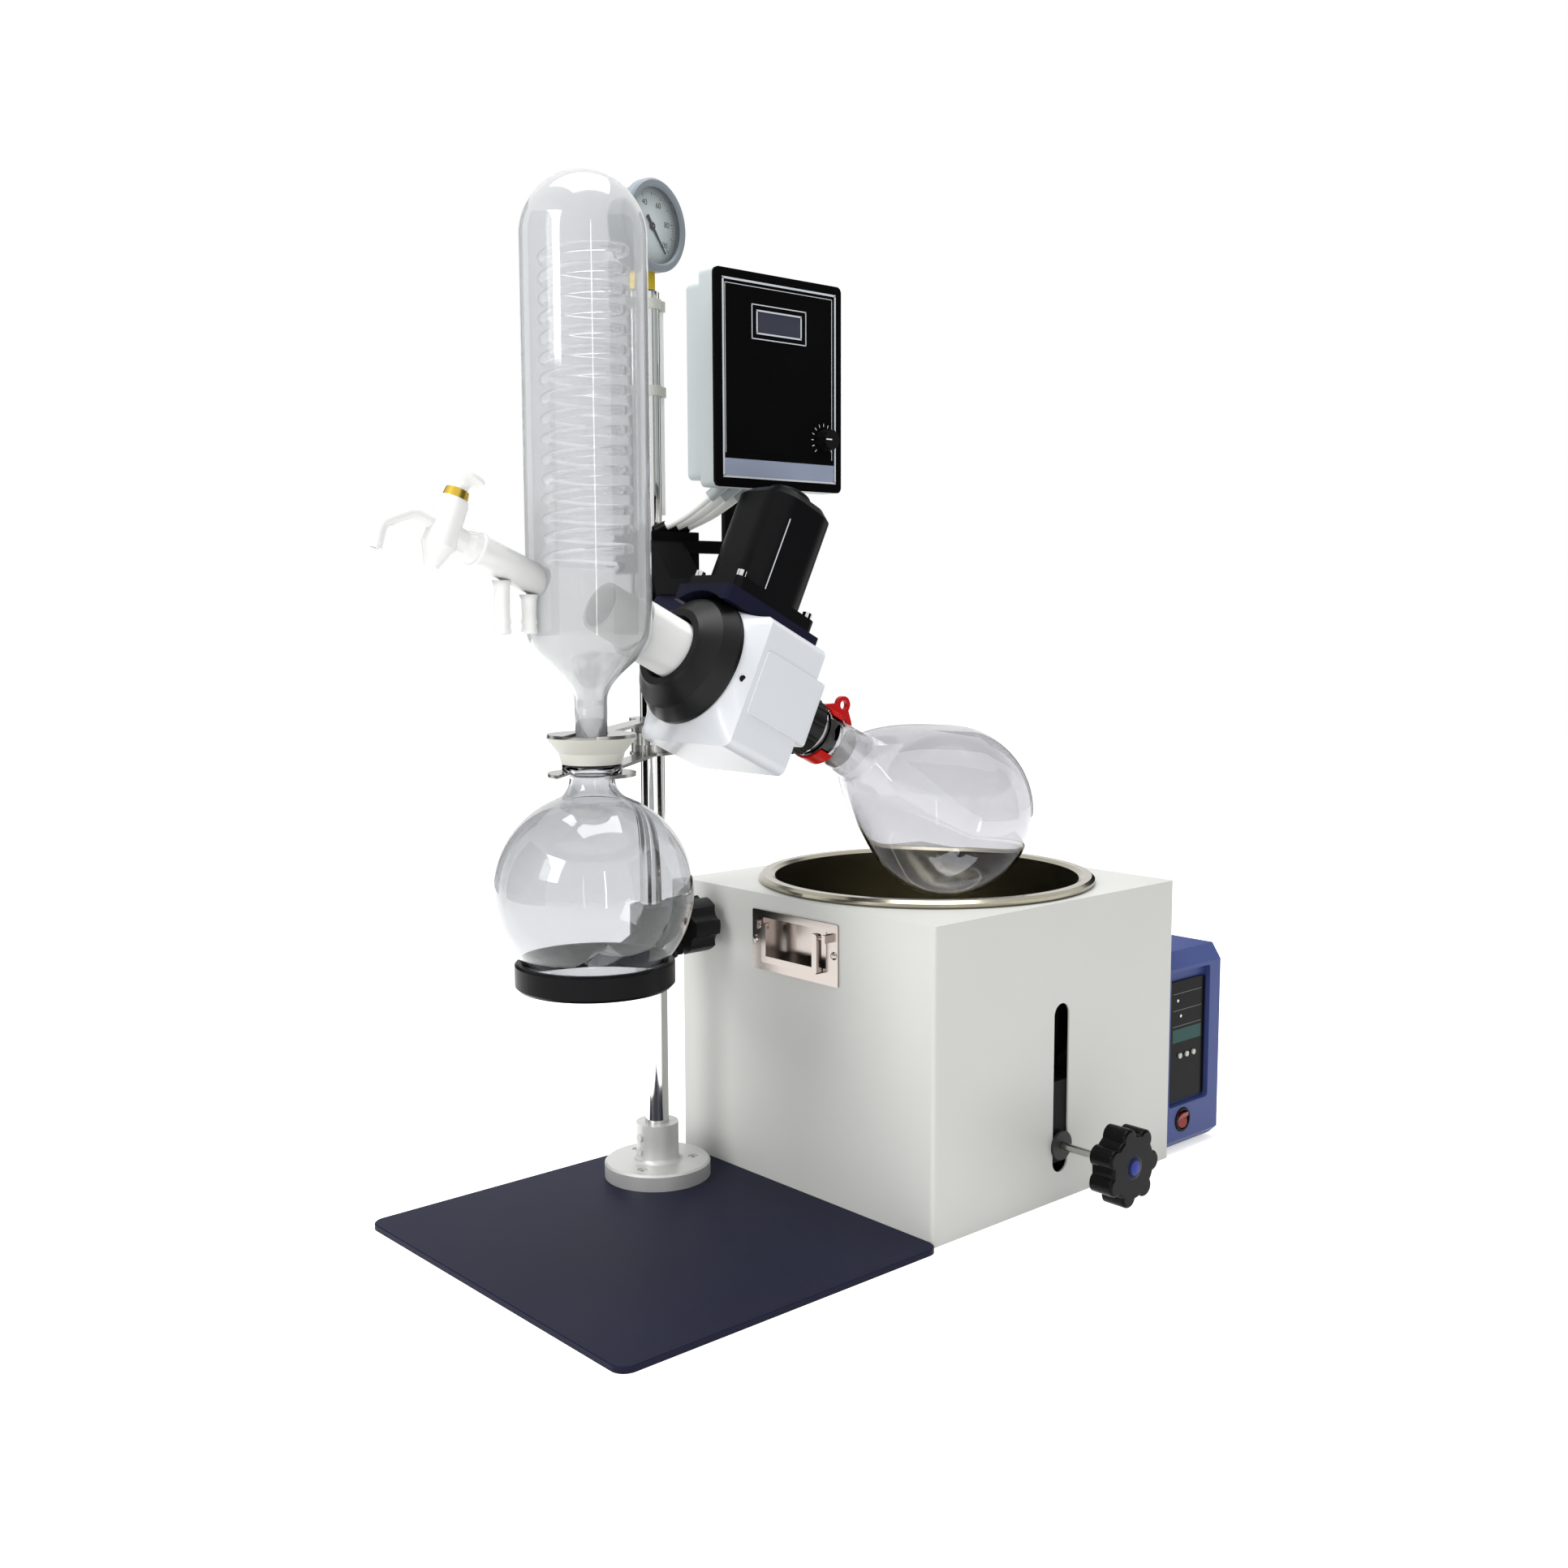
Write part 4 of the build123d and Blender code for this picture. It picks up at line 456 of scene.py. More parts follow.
def tube(name: str, path: Array, side: Array, radius: float, material: Material,
         segments: int) -> Object:
    """Carry a circle along a path on the stand, with flat closed ends.

    A point is path + radius * (cos(angle) * side + sin(angle) * (tangent x side)).

    Args:
        name: The piece's name.
        path: Centre points, one row each.
        side: A unit vector square to the path at each point.
        radius: The tube's radius.
        material: Its material.
        segments: Steps round the tube.

    Returns:
        The new object.
    """
    tangent = np.gradient(path, axis=0)
    tangent /= np.linalg.norm(tangent, axis=1, keepdims=True)
    other = np.cross(tangent, side)
    angle = np.linspace(0, 2 * math.pi, segments, endpoint=False)[None, :, None]
    rings = path[:, None] + radius * (np.cos(angle) * side[:, None]
                                      + np.sin(angle) * other[:, None])
    faces = ring_faces(len(path), segments)
    faces += [list(range(first, first + segments)) for first in (0, (len(path) - 1) * segments)]
    return shell(name, rings.reshape(-1, 3), faces, material, "stand")


def arc(centre: float, radius: float, start: float, end: float, steps: int) -> Array:
    """Give an arc of a profile: (centre, 0) + radius * (cos, sin) of each angle in degrees."""
    angle = np.radians(np.linspace(start, end, steps))
    return np.stack([centre + radius * np.cos(angle), radius * np.sin(angle)], -1)


def hermite(start: Pair, start_slope: Pair, end: Pair, end_slope: Pair, steps: int) -> Array:
    """Join two profile points smoothly: a cubic whose end slopes are the chord's length long.

    Args:
        start: First point, as distance and radius.
        start_slope: Unit direction of the curve there.
        end: Last point.
        end_slope: Unit direction of the curve there.
        steps: How many points it gets.

    Returns:
        One row of distance and radius for each point.
    """
    p, q = np.array(start), np.array(end)
    chord = np.linalg.norm(q - p)
    m, n = np.array(start_slope) * chord, np.array(end_slope) * chord
    t = np.linspace(0, 1, steps)[:, None]
    return ((2 * t ** 3 - 3 * t ** 2 + 1) * p + (t ** 3 - 2 * t ** 2 + t) * m
            + (3 * t ** 2 - 2 * t ** 3) * q + (t ** 3 - t ** 2) * n)


def plates(name: str, plane: Axis, bars: Rows, thickness: float, material: Material,
           body: str = "stand") -> Object:
    """Lay many thin flat bars on a plane at once, each a box turned about its own centre.

    The plane's normal is the axis's along, and its x and y run beside and up.

    Args:
        name: The piece's name.
        plane: The plane's place and directions.
        bars: One row each of centre x, centre y, half length, half width and turn in radians.
        thickness: How far the bars stand proud.
        material: Its material.
        body: The body that it moves with.

    Returns:
        The new object.
    """
    centre_x, centre_y, half_length, half_width, turn = np.array(bars, float).T[:, :, None]
    signs = np.array([(-1, -1), (1, -1), (1, 1), (-1, 1)])
    x, y = signs[:, 0] * half_length, signs[:, 1] * half_width
    flat_x = centre_x + x * np.cos(turn) - y * np.sin(turn)
    flat_y = centre_y + x * np.sin(turn) + y * np.cos(turn)
    points = np.concatenate([plane.at(0.0, flat_y, flat_x), plane.at(thickness, flat_y, flat_x)],
                            1).reshape(-1, 3)
    block = np.array([(4, 5, 6, 7), (3, 2, 1, 0), (0, 1, 5, 4), (1, 2, 6, 5), (2, 3, 7, 6),
                      (3, 0, 4, 7)])
    faces = (block[None] + np.arange(len(bars))[:, None, None] * 8).reshape(-1, 4)
    return shell(name, points, faces.tolist(), material, body, smooth=False)


def ring_of_ticks(radius: float, half_length: float, half_width: float, start: float, end: float,
                  count: int) -> Array:
    """Place tick marks round a centre, each a bar that points outwards at its angle in degrees."""
    angle = np.radians(np.linspace(start, end, count))
    return np.stack([radius * np.cos(angle), radius * np.sin(angle), np.full(count, half_length),
                     np.full(count, half_width), angle], -1)


def outline_bars(centre: Pair, width: float, height: float, half_line: float) -> Array:
    """Draw a rectangle as four bars, its width and height taken at the middle of the line."""
    x, y = centre
    return np.array([(x, y - height / 2, width / 2 + half_line, half_line, 0),
                     (x, y + height / 2, width / 2 + half_line, half_line, 0),
                     (x - width / 2, y, half_line, height / 2, 0),
                     (x + width / 2, y, half_line, height / 2, 0)])


def words(name: str, text: str, size: float, plane: Axis, centre: Pair,
          material: Material) -> Object:
    """Set a short number on a plane of the stand as thin mesh letters.

    Args:
        name: The piece's name.
        text: The number.
        size: Letter height.
        plane: The plane: its along is the normal, and x and y run beside and up.
        centre: The text's centre on the plane.
        material: Its material.

    Returns:
        The new object.
    """
    lift, thickness = 0.1, 0.05
    curve = bpy.data.curves.new(name, "FONT")
    curve.body, curve.size, curve.extrude = text, size * MM, thickness * MM
    curve.align_x, curve.align_y = "CENTER", "CENTER"
    carrier = bpy.data.objects.new(name, curve)
    bpy.context.scene.collection.objects.link(carrier)
    bpy.context.view_layer.update()
    mesh = bpy.data.meshes.new_from_object(
        carrier.evaluated_get(bpy.context.evaluated_depsgraph_get()))
    bpy.data.objects.remove(carrier)
    columns = (plane.beside(), plane.up, plane.along, plane.at(lift, centre[1], centre[0]) * MM)
    mesh.transform(Matrix([[column[i] for column in columns] for i in range(3)]
                          + [[0, 0, 0, 1]]))
    mesh.materials.clear()
    mesh.materials.append(material)
    mesh.name = name
    return place(name, mesh, "stand")


TILT = math.radians(26.0)
FEED_TILT = math.radians(23.0)
GLASS_XY = (-171.0, -136.0)
SHAFT = Axis((*GLASS_XY, 613.0), (math.cos(TILT), 0, -math.sin(TILT)),
             (math.sin(TILT), 0, math.cos(TILT)))
UPRIGHT = Axis((*GLASS_XY, 0.0), (0, 0, 1), (1, 0, 0))
FEED = Axis((*GLASS_XY, 606.0), (-math.cos(FEED_TILT), 0, math.sin(FEED_TILT)),
            (math.sin(FEED_TILT), 0, math.cos(FEED_TILT)))


class Finishes:
    """Every opaque and clear finish of the machine, each built at its first use."""

    navy = Finish(
        "navy enamel on steel, powder coated", "17182C", 0.42, grain=0.9, relief=0.03,
        specular=0.06)
    black_enamel = Finish(
        "black enamel on castings", "0D0D0F", 0.32, grain=1.5, relief=0.015, specular=0.07)
    white_enamel = Finish(
        "white enamel on a casting", "D0D3D8", 0.3, coat=0.2, grain=2.0, relief=0.01, drift=0.015)
    grey_enamel = Finish(
        "grey-white enamel on sheet steel", "C2C3BF", 0.45, grain=0.9, relief=0.015, drift=0.02)
    gauge_grey = Finish("grey enamel on pressed steel", "7D858B", 0.38, drift=0.02, specular=0.2)
    box_grey = Finish("grey ABS, moulded", "B0B7B8", 0.5, grain=0.8, drift=0.02)
    chrome = Finish(
        "chromed steel, polished", "D6D6D4", 0.07, metallic=1.0, grain=3.0, relief=0.001,
        drift=0.01)
    dull_chrome = Finish(
        "steel plate, chromed dull", "A3A3A0", 0.24, metallic=1.0, grain=1.0, relief=0.004)
    steel = Finish(
        "steel, turned", "A9A8A4", 0.3, metallic=1.0, grain=0.7, relief=0.008, lay=TURNED)
    pale_steel = Finish(
        "steel, ground and satin plated", "C9C9C7", 0.42, metallic=0.55, grain=0.7, relief=0.008,
        lay=TURNED)
    stainless = Finish(
        "stainless steel, drawn and polished", "A8A392", 0.2, metallic=1.0, grain=0.9,
        relief=0.004, lay=TURNED)
    brass = Finish("brass, turned", "F2D23A", 0.42, metallic=0.8, grain=0.8, relief=0.006)
    black_plastic = Finish("black phenolic, moulded", "0F0F10", 0.36, grain=1.0, specular=0.18)
    knob_black = Finish(
        "black phenolic, moulded and polished", "070708", 0.2, grain=2.0, relief=0.003,
        specular=0.08)
    panel_black = Finish(
        "black acrylic sheet", "09090A", 0.2, grain=4.0, relief=0.002, specular=0.06)
    blue_plastic = Finish(
        "blue ABS, moulded", "3D4A80", 0.42, grain=0.8, relief=0.03, specular=0.2)
    white_plastic = Finish(
        "white PTFE, turned", "B8B8B0", 0.45, grain=1.5, relief=0.006, drift=0.015)
    red_plastic = Finish(
        "red polyacetal, moulded", "BE0C0A", 0.3, grain=1.5, relief=0.01, specular=0.2)
    rocker_red = Finish("red acrylic, unlit", "7E0B08", 0.2, grain=2.0, relief=0.003, specular=0.2)
    tray_steel = Finish("stainless steel, pressed", "ABA39E", 0.2, metallic=1.0, relief=0.003)
    # Painted shade: the lift carriage sits in the casing's slot, and its steel is coloured near
    # black for the shade that falls there.
    carriage_slot_shade = Finish("steel, painted dark for the shade in its slot", "0E0E0E", 0.6, specular=0.1)
    white_rubber = Finish("white silicone sleeving", "F0F1EE", 0.5, grain=0.8, drift=0.02)
    silver_line = Finish("silver print", "C4C8CE", 0.35, drift=0.01)
    white_print = Finish("white print", "ECEDEE", 0.5, drift=0.01)
    black_print = Finish("black print", "131416", 0.5, drift=0.01)
    grey_print = Finish("grey print", "5A5A5C", 0.5, drift=0.01)
    dial_face = Finish("printed dial, pale grey", "EEF1F2", 0.5, drift=0.01)
    strip_blue = Finish(
        "anodised aluminium strip, blue-grey", "A2ACC4", 0.35, metallic=0.3, drift=0.02)
    lcd = Finish("liquid crystal window, dark", "3B3D49", 0.2, drift=0.02, specular=0.1)
    lcd_green = Finish(
        "liquid crystal window, unlit green", "254A46", 0.25, drift=0.02, specular=0.08)
    blue_cap = Finish("blue cap, moulded", "14288C", 0.3, specular=0.15)
    # Painted shade: a near-black disc set in a screw hole's mouth, where the shade inside the hole
    # falls.
    dark_gap = Finish("open screw hole in shade", "0A0A0B", 0.7, specular=0.1)
    glass = ClearGlass()
    coil_glass = ClearGlass("borosilicate glass, drawn tube", "F0F1F2", 0.6)
    flask_glass = ClearGlass("borosilicate glass, blown thick", "D0D1D3")
    ground_glass = MistedGlass("borosilicate glass, ground", "F4F4F3", 0.8)
    steamed_glass = MistedGlass("borosilicate glass, blown, steamed inside", "D9DBDD", 0.26,
                                0.04)
    window = WindowGlass()
    gilt_plug = BandedFinish(
        "white PTFE plug with a gilt keeper ring", "E6E8E8", "D8B84A",
        through=tuple(FEED.at(158.0, 30.0).tolist()), normal=FEED.up, roughness=(0.4, 0.3),
        metallic=(0.0, 0.9), depth=8.2)
    # Painted shade: the spindle's flange, inside the slot beyond the plane, is coloured near black
    # for the shade there.
    spindle_with_slot_shade = BandedFinish(
        "steel spindle, flange painted dark for the slot's shade", "B9B8B4", "0E0E0E", through=(268.0, -330.0, 58.0),
        normal=(0.0, 1.0, 0.0), roughness=(0.22, 0.6), metallic=(1.0, 0.0))

    def __init__(self) -> None:
        """Start with no material built."""
        self.made: dict[str, Material] = {}

    def get(self, name: str) -> Material:
        """Give the material of a named finish, and build it at its first use."""
        if name not in self.made:
            self.made[name] = getattr(self, name).build()
        return self.made[name]

    def dress(self, name: str, node: str) -> None:
        """Give a frame node a named finish and report it."""
        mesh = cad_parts[node].data
        mesh.materials.clear()
        mesh.materials.append(self.get(name))
        mesh.polygons.foreach_set("material_index", np.zeros(len(mesh.polygons), np.int32))
        log.info("%s dressed in %s", node, name)


@dataclass
class Assembly:
    """A sub-assembly that makes its own pieces and dresses the frame's nodes.

    Attributes:
        finishes: The machine's finishes.
        looks: Names of finishes, each with the nodes that get it.
    """

    finishes: Finishes
    looks = {}

    def get(self, name: str) -> Material:
        """Give the material of a named finish."""
        return self.finishes.get(name)

    def make(self) -> None:
        """Make the pieces that the frame doesn't hold."""

    def build(self) -> None:
        """Make the pieces, then dress the nodes."""
        self.make()
        for name, nodes in self.looks.items():
            for node in nodes:
                self.finishes.dress(name, node)


@dataclass
class GlassLine(Assembly):
    """Condenser, coil, receiving flask and feed valve, all on one upright axis."""

    jacket_radius: float = 56.0
    jacket_low: float = 585.0
    jacket_high: float = 926.0
    neck_radius: float = 14.5
    neck_low: float = 474.0
    neck_high: float = 522.0
    weld: float = 1.5
    port_bore: float = 24.0
    port_skin: Pairs = ((123.0, 28.0), (123.0, 33.5), (129.0, 33.5))
    feed_bore: float = 10.85
    feed_skin: Pairs = ((119.0, 14.0), (123.0, 15.4), (126.0, 14.6))
    nipples: tuple[tuple[str, float, float], ...] = (("right", -63.0, 617.0),
                                                     ("left", -90.0, 629.0))
    nipple_low: float = 583.0
    nipple_bore: float = 4.7
    nipple_ridges: Pairs = ((0.0, 6.0), (2.0, 7.4), (7.0, 6.3), (10.0, 7.2),
                                       (15.0, 6.3))
    nipple_root: Pairs = ((-5.0, 6.7), (0.0, 8.5))
    coil_radius: float = 36.0
    coil_tube: float = 4.5
    coil_low: float = 642.0
    coil_pitch: float = 17.2
    coil_turns: int = 16
    coil_steps: int = 40
    ball_radius: float = 91.0
    ball_height: float = 349.0
    throat_flare: float = 12.0
    throat_height: float = 18.0
    receiver_neck: float = 20.5
    receiver_top: float = 466.0
    flange_radius: float = 27.0
    flange_low: float = 458.0
    looks = {"ground_glass": ("feed_valve",),
             "white_plastic": ("joint_cone", "vapour_duct"),
             "white_rubber": ("vacuum_pipe",),
             "dull_chrome": ("clamp_plate_top", "clamp_plate_low", "clamp_block", "clamp_lever"),
             "black_enamel": ("support_ring", "ring_clamp"),
             "black_plastic": ("ring_knob",),
             "gilt_plug": ("valve_plug",)}

    def jacket_skin(self, inset: float) -> Array:
        """Draw the jacket from its top to its foot: dome, wall, waist and stem.

        Args:
            inset: How far inside the outer skin it lies.

        Returns:
            One row of height and radius for each point.
        """
        body, stem = self.jacket_radius - inset, self.neck_radius - inset
        dome = arc(self.jacket_high, body, 0, 90, steps=24)
        waist = hermite((self.jacket_low, body), (-1, 0), (self.neck_high, stem), (-1, 0),
                        steps=24)
        return np.vstack([dome, waist, [(self.neck_low, stem)]])

    def socket(self, name: str, axis: Axis, bore: float, skin: Pairs,
               segments: int) -> Object:
        """Weld a socket into the jacket's wall.

        Args:
            name: The piece's name.
            axis: The socket's axis.
            bore: Radius of its bore.
            skin: Distances and radii of its outside, from where it first bends to its end.
            segments: Steps round the axis.

        Returns:
            The new object.
        """
        start = self.jacket_radius - self.weld
        profile = [(start, bore), (start, skin[0][1]), *skin, (skin[-1][0], bore)]
        return lathe(name, axis, profile, self.get("ground_glass"), segments)

    def jacket(self) -> None:
        """Blow the condenser's jacket, and weld on the port that takes the vapour duct."""
        profile = np.vstack([self.jacket_skin(0.0), self.jacket_skin(GLASS_WALL)[::-1]])
        jacket = lathe("condenser_jacket_glass", UPRIGHT, profile, self.get("steamed_glass"),
                       segments=128)
        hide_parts("condenser_jacket")
        socket = self.socket("condenser_port_glass", SHAFT, self.port_bore, self.port_skin, 72)

    def feed(self) -> None:
        """Draw the feed socket with its bead, and the two ridged hose nipples."""
        self.socket("feed_socket_glass", FEED, self.feed_bore, self.feed_skin, 56)
        glass = self.get("ground_glass")
        for name, offset, top in self.nipples:
            nipple = Axis((GLASS_XY[0] + offset, GLASS_XY[1], 0), (0, 0, 1), (1, 0, 0))
            ridge = np.vstack([(self.nipple_low, self.nipple_bore),
                               np.array(self.nipple_ridges) + (self.nipple_low, 0),
                               np.array(self.nipple_root) + (top, 0), (top, self.nipple_bore)])
            lathe(f"hose_nipple_{name}_glass", nipple, ridge, glass, segments=40)

    def coil(self) -> None:
        """Wind the cooling coil: its height rises evenly with the angle, at one radius."""
        turns = np.linspace(0, self.coil_turns, self.coil_turns * self.coil_steps + 1)
        angle = turns * 2 * math.pi
        outwards = np.stack([np.cos(angle), np.sin(angle), np.zeros_like(angle)], -1)
        path = UPRIGHT.at(self.coil_low + self.coil_pitch * turns) + outwards * self.coil_radius
        wound = tube("condenser_coil_glass", path, outwards, self.coil_tube,
                     self.get("coil_glass"), segments=14)
        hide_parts("condenser_coil")

    def receiver_skin(self, inset: float) -> Array:
        """Draw the receiving flask from its foot to its neck: ball and throat.

        Args:
            inset: How far inside the outer skin it lies.

        Returns:
            One row of height and radius for each point.
        """
        ball, neck = self.ball_radius - inset, self.receiver_neck - inset
        join = self.receiver_neck + self.throat_flare
        lean = math.asin(join / ball)
        top = self.ball_height + math.sqrt(ball ** 2 - join ** 2)
        throat = hermite((top, join), (math.sin(lean), -math.cos(lean)),
                         (top + self.throat_height, neck), (1, 0), steps=16)
        return np.vstack([arc(self.ball_height, ball, 180, math.degrees(lean), steps=60),
                          throat[1:]])

    def receiver(self) -> None:
        """Blow the receiving flask and give its neck a ground flange."""
        outer, inner = self.receiver_skin(0.0), self.receiver_skin(GLASS_WALL)
        flange = [(self.flange_low, outer[-1, 1]), (self.flange_low, self.flange_radius),
                  (self.receiver_top, self.flange_radius), (self.receiver_top, inner[-1, 1])]
        blown = lathe("receiving_flask_glass", UPRIGHT, np.vstack([outer, flange, inner[::-1]]),
                      self.get("flask_glass"), segments=128)
        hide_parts("receiving_flask")

    def make(self) -> None:
        """Make the glass."""
        self.jacket()
        self.feed()
        self.coil()
        self.receiver()


@dataclass
class DriveHead(Assembly):
    """Gearbox, motor, ring nut, shaft, clip and the evaporating flask on the tilted axis."""

    ball_radius: float = 94.4
    ball_station: float = 525.6
    neck_radius: float = 25.0
    mouth: float = 300.0
    neck_length: float = 68.0
    pear_angle: float = 68.0
    shoulder_slope: float = 40.0
    collar: Pairs = ((24.0, 25.0), (20.0, 27.0), (0.0, 27.0))
    socket: Pairs = ((0.0, 21.05), (44.0, 18.6), (47.0, 20.0))
    seam_highlight_place: Point = (152.0, 122.0, -39.2)
    seam_highlight_half: Pair = (0.5, 37.0)
    hole_station: float = 143.0
    hole_spots: Pairs = ((-11.0, -65.0), (-61.0, -16.0))
    hole_radius: float = 3.4
    hole_ends: Pair = (0.5, -1.0)
    nose_slope: Pair = (0.93, 0.37)
    looks = {"ground_glass": ("hollow_shaft",),
             "white_enamel": ("gearbox",),
             "black_enamel": ("motor_housing", "head_clamp", "box_post"),
             "black_plastic": ("ring_nut", "pull_nut"),
             "navy": ("head_plate",),
             "red_plastic": ("joint_clip",),
             "steel": ("drive_gear", "motor_rotor", "shaft_bearings"),
             "chrome": ("head_screws",)}

    def flask_skin(self, inset: float) -> Array:
        """Draw the evaporating flask from its neck to its far end: pear neck and ball.

        Args:
            inset: How far inside the outer skin it lies.

        Returns:
            One row of distance and radius for each point.
        """
        ball, lean = self.ball_radius - inset, math.radians(self.pear_angle)
        rise = math.radians(self.shoulder_slope)
        shoulder = (self.ball_station - ball * math.cos(lean), ball * math.sin(lean))
        blend = hermite((self.mouth + self.neck_length, self.neck_radius - inset),
                        (math.cos(rise), math.sin(rise)), shoulder,
                        (math.sin(lean), math.cos(lean)), steps=24)
        round_end = arc(self.ball_station, ball, 180 - self.pear_angle, 0, steps=56)
        return np.vstack([blend, round_end[1:]])

    def flask(self) -> None:
        """Blow the evaporating flask, with a collar outside its mouth and a socket inside."""
        mouth = (self.mouth, 0)
        profile = np.vstack([self.flask_skin(0.0)[::-1], np.array(self.collar) + mouth,
                             np.array(self.socket) + mouth, self.flask_skin(GLASS_WALL)])
        blown = lathe("evaporating_flask_glass", SHAFT, profile, self.get("glass"),
                      segments=128, body="shaft")
        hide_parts("evaporating_flask")

    def marks(self) -> None:
        """Draw a pale line of painted highlight along the motor's seam, and discs of painted shade
        in the mouths of two screw holes in the nose.
        """
        # The pale line is painted highlight: the light that catches the seam's ridge, laid on in
        # silver print.
        seam = Axis(SHAFT.at(*self.seam_highlight_place), (0, -1, 0), SHAFT.up)
        plates("motor_seam_highlight", seam, [(0, 0, *self.seam_highlight_half, 0)], 0.5, self.get("silver_line"))
        outwards, back = self.nose_slope
        top, foot = self.hole_ends
        # Each mouth is a thin near-black disc of painted shade, in place of the hole's shaded
        # depth.
        mouth = [(top, 0), (top, self.hole_radius), (foot, self.hole_radius), (foot, 0)]
        for number, (height, side) in enumerate(self.hole_spots):
            radial = np.array(SHAFT.up) * height + SHAFT.beside() * side
            facing = radial / np.linalg.norm(radial) * outwards - np.array(SHAFT.along) * back
            facing /= np.linalg.norm(facing)
            spot = SHAFT.at(self.hole_station, height, side)
            lathe(f"nose_screw_hole_shade_{number + 1}", Axis(spot, facing, SHAFT.along), mouth,
                  self.get("dark_gap"), segments=24)

    def make(self) -> None:
        """Make the flask and the marks."""
        self.flask()
        self.marks()


@dataclass
class Stand(Assembly):
    """Base plate, column and gauge."""

    gauge_height: float = 984.0
    gauge_turn: float = 13.0
    dial_depth: float = 7.0
    dial_radius: float = 38.7
    card: Pair = (0.05, 0.3)
    sweep: Pair = (-40.0, 220.0)
    tick_rows: tuple[tuple[float, float, float, int], ...] = ((32.0, 1.8, 0.35, 11),
                                                              (32.8, 1.0, 0.18, 51))
    numbers: tuple[str, ...] = ("0", "20", "40", "60", "80", "100")
    number_radius: float = 24.0
    number_size: float = 8.0
    looks = {"navy": ("base_plate",),
             "pale_steel": ("column_flange", "base_screws"),
             "chrome": ("column",),
             "brass": ("gauge_fitting",),
             "gauge_grey": ("gauge_case",),
             "white_plastic": ("pipe_clips",),
             "black_print": ("gauge_needle",),
             "window": ("gauge_window",)}

    def make(self) -> None:
        """Print the dial: a pale card, two rings of ticks and round numbers."""
        lean = math.radians(self.gauge_turn)
        facing = np.array([math.sin(lean), -math.cos(lean), 0.0])
        spot = np.array([0, 0, self.gauge_height]) + facing * self.dial_depth
        low, high = self.card
        card = [(high, 0), (high, self.dial_radius), (low, self.dial_radius), (low, 0)]
        lathe("gauge_dial_face", Axis(spot, facing, (0, 0, 1)), card, self.get("dial_face"),
              segments=72)
        printed = Axis(spot + facing * high, facing, (0, 0, 1))
        ink = self.get("black_print")
        ticks = [ring_of_ticks(radius, half_length, half_width, *self.sweep, count)
                 for radius, half_length, half_width, count in self.tick_rows]
        plates("gauge_ticks", printed, np.vstack(ticks), 0.1, ink)
        angles = np.radians(np.linspace(*self.sweep[::-1], len(self.numbers)))
        for number, (text, angle) in enumerate(zip(self.numbers, angles)):
            words(f"gauge_number_{number}", text, self.number_size, printed,
                  (self.number_radius * math.cos(angle), self.number_radius * math.sin(angle)),
                  ink)


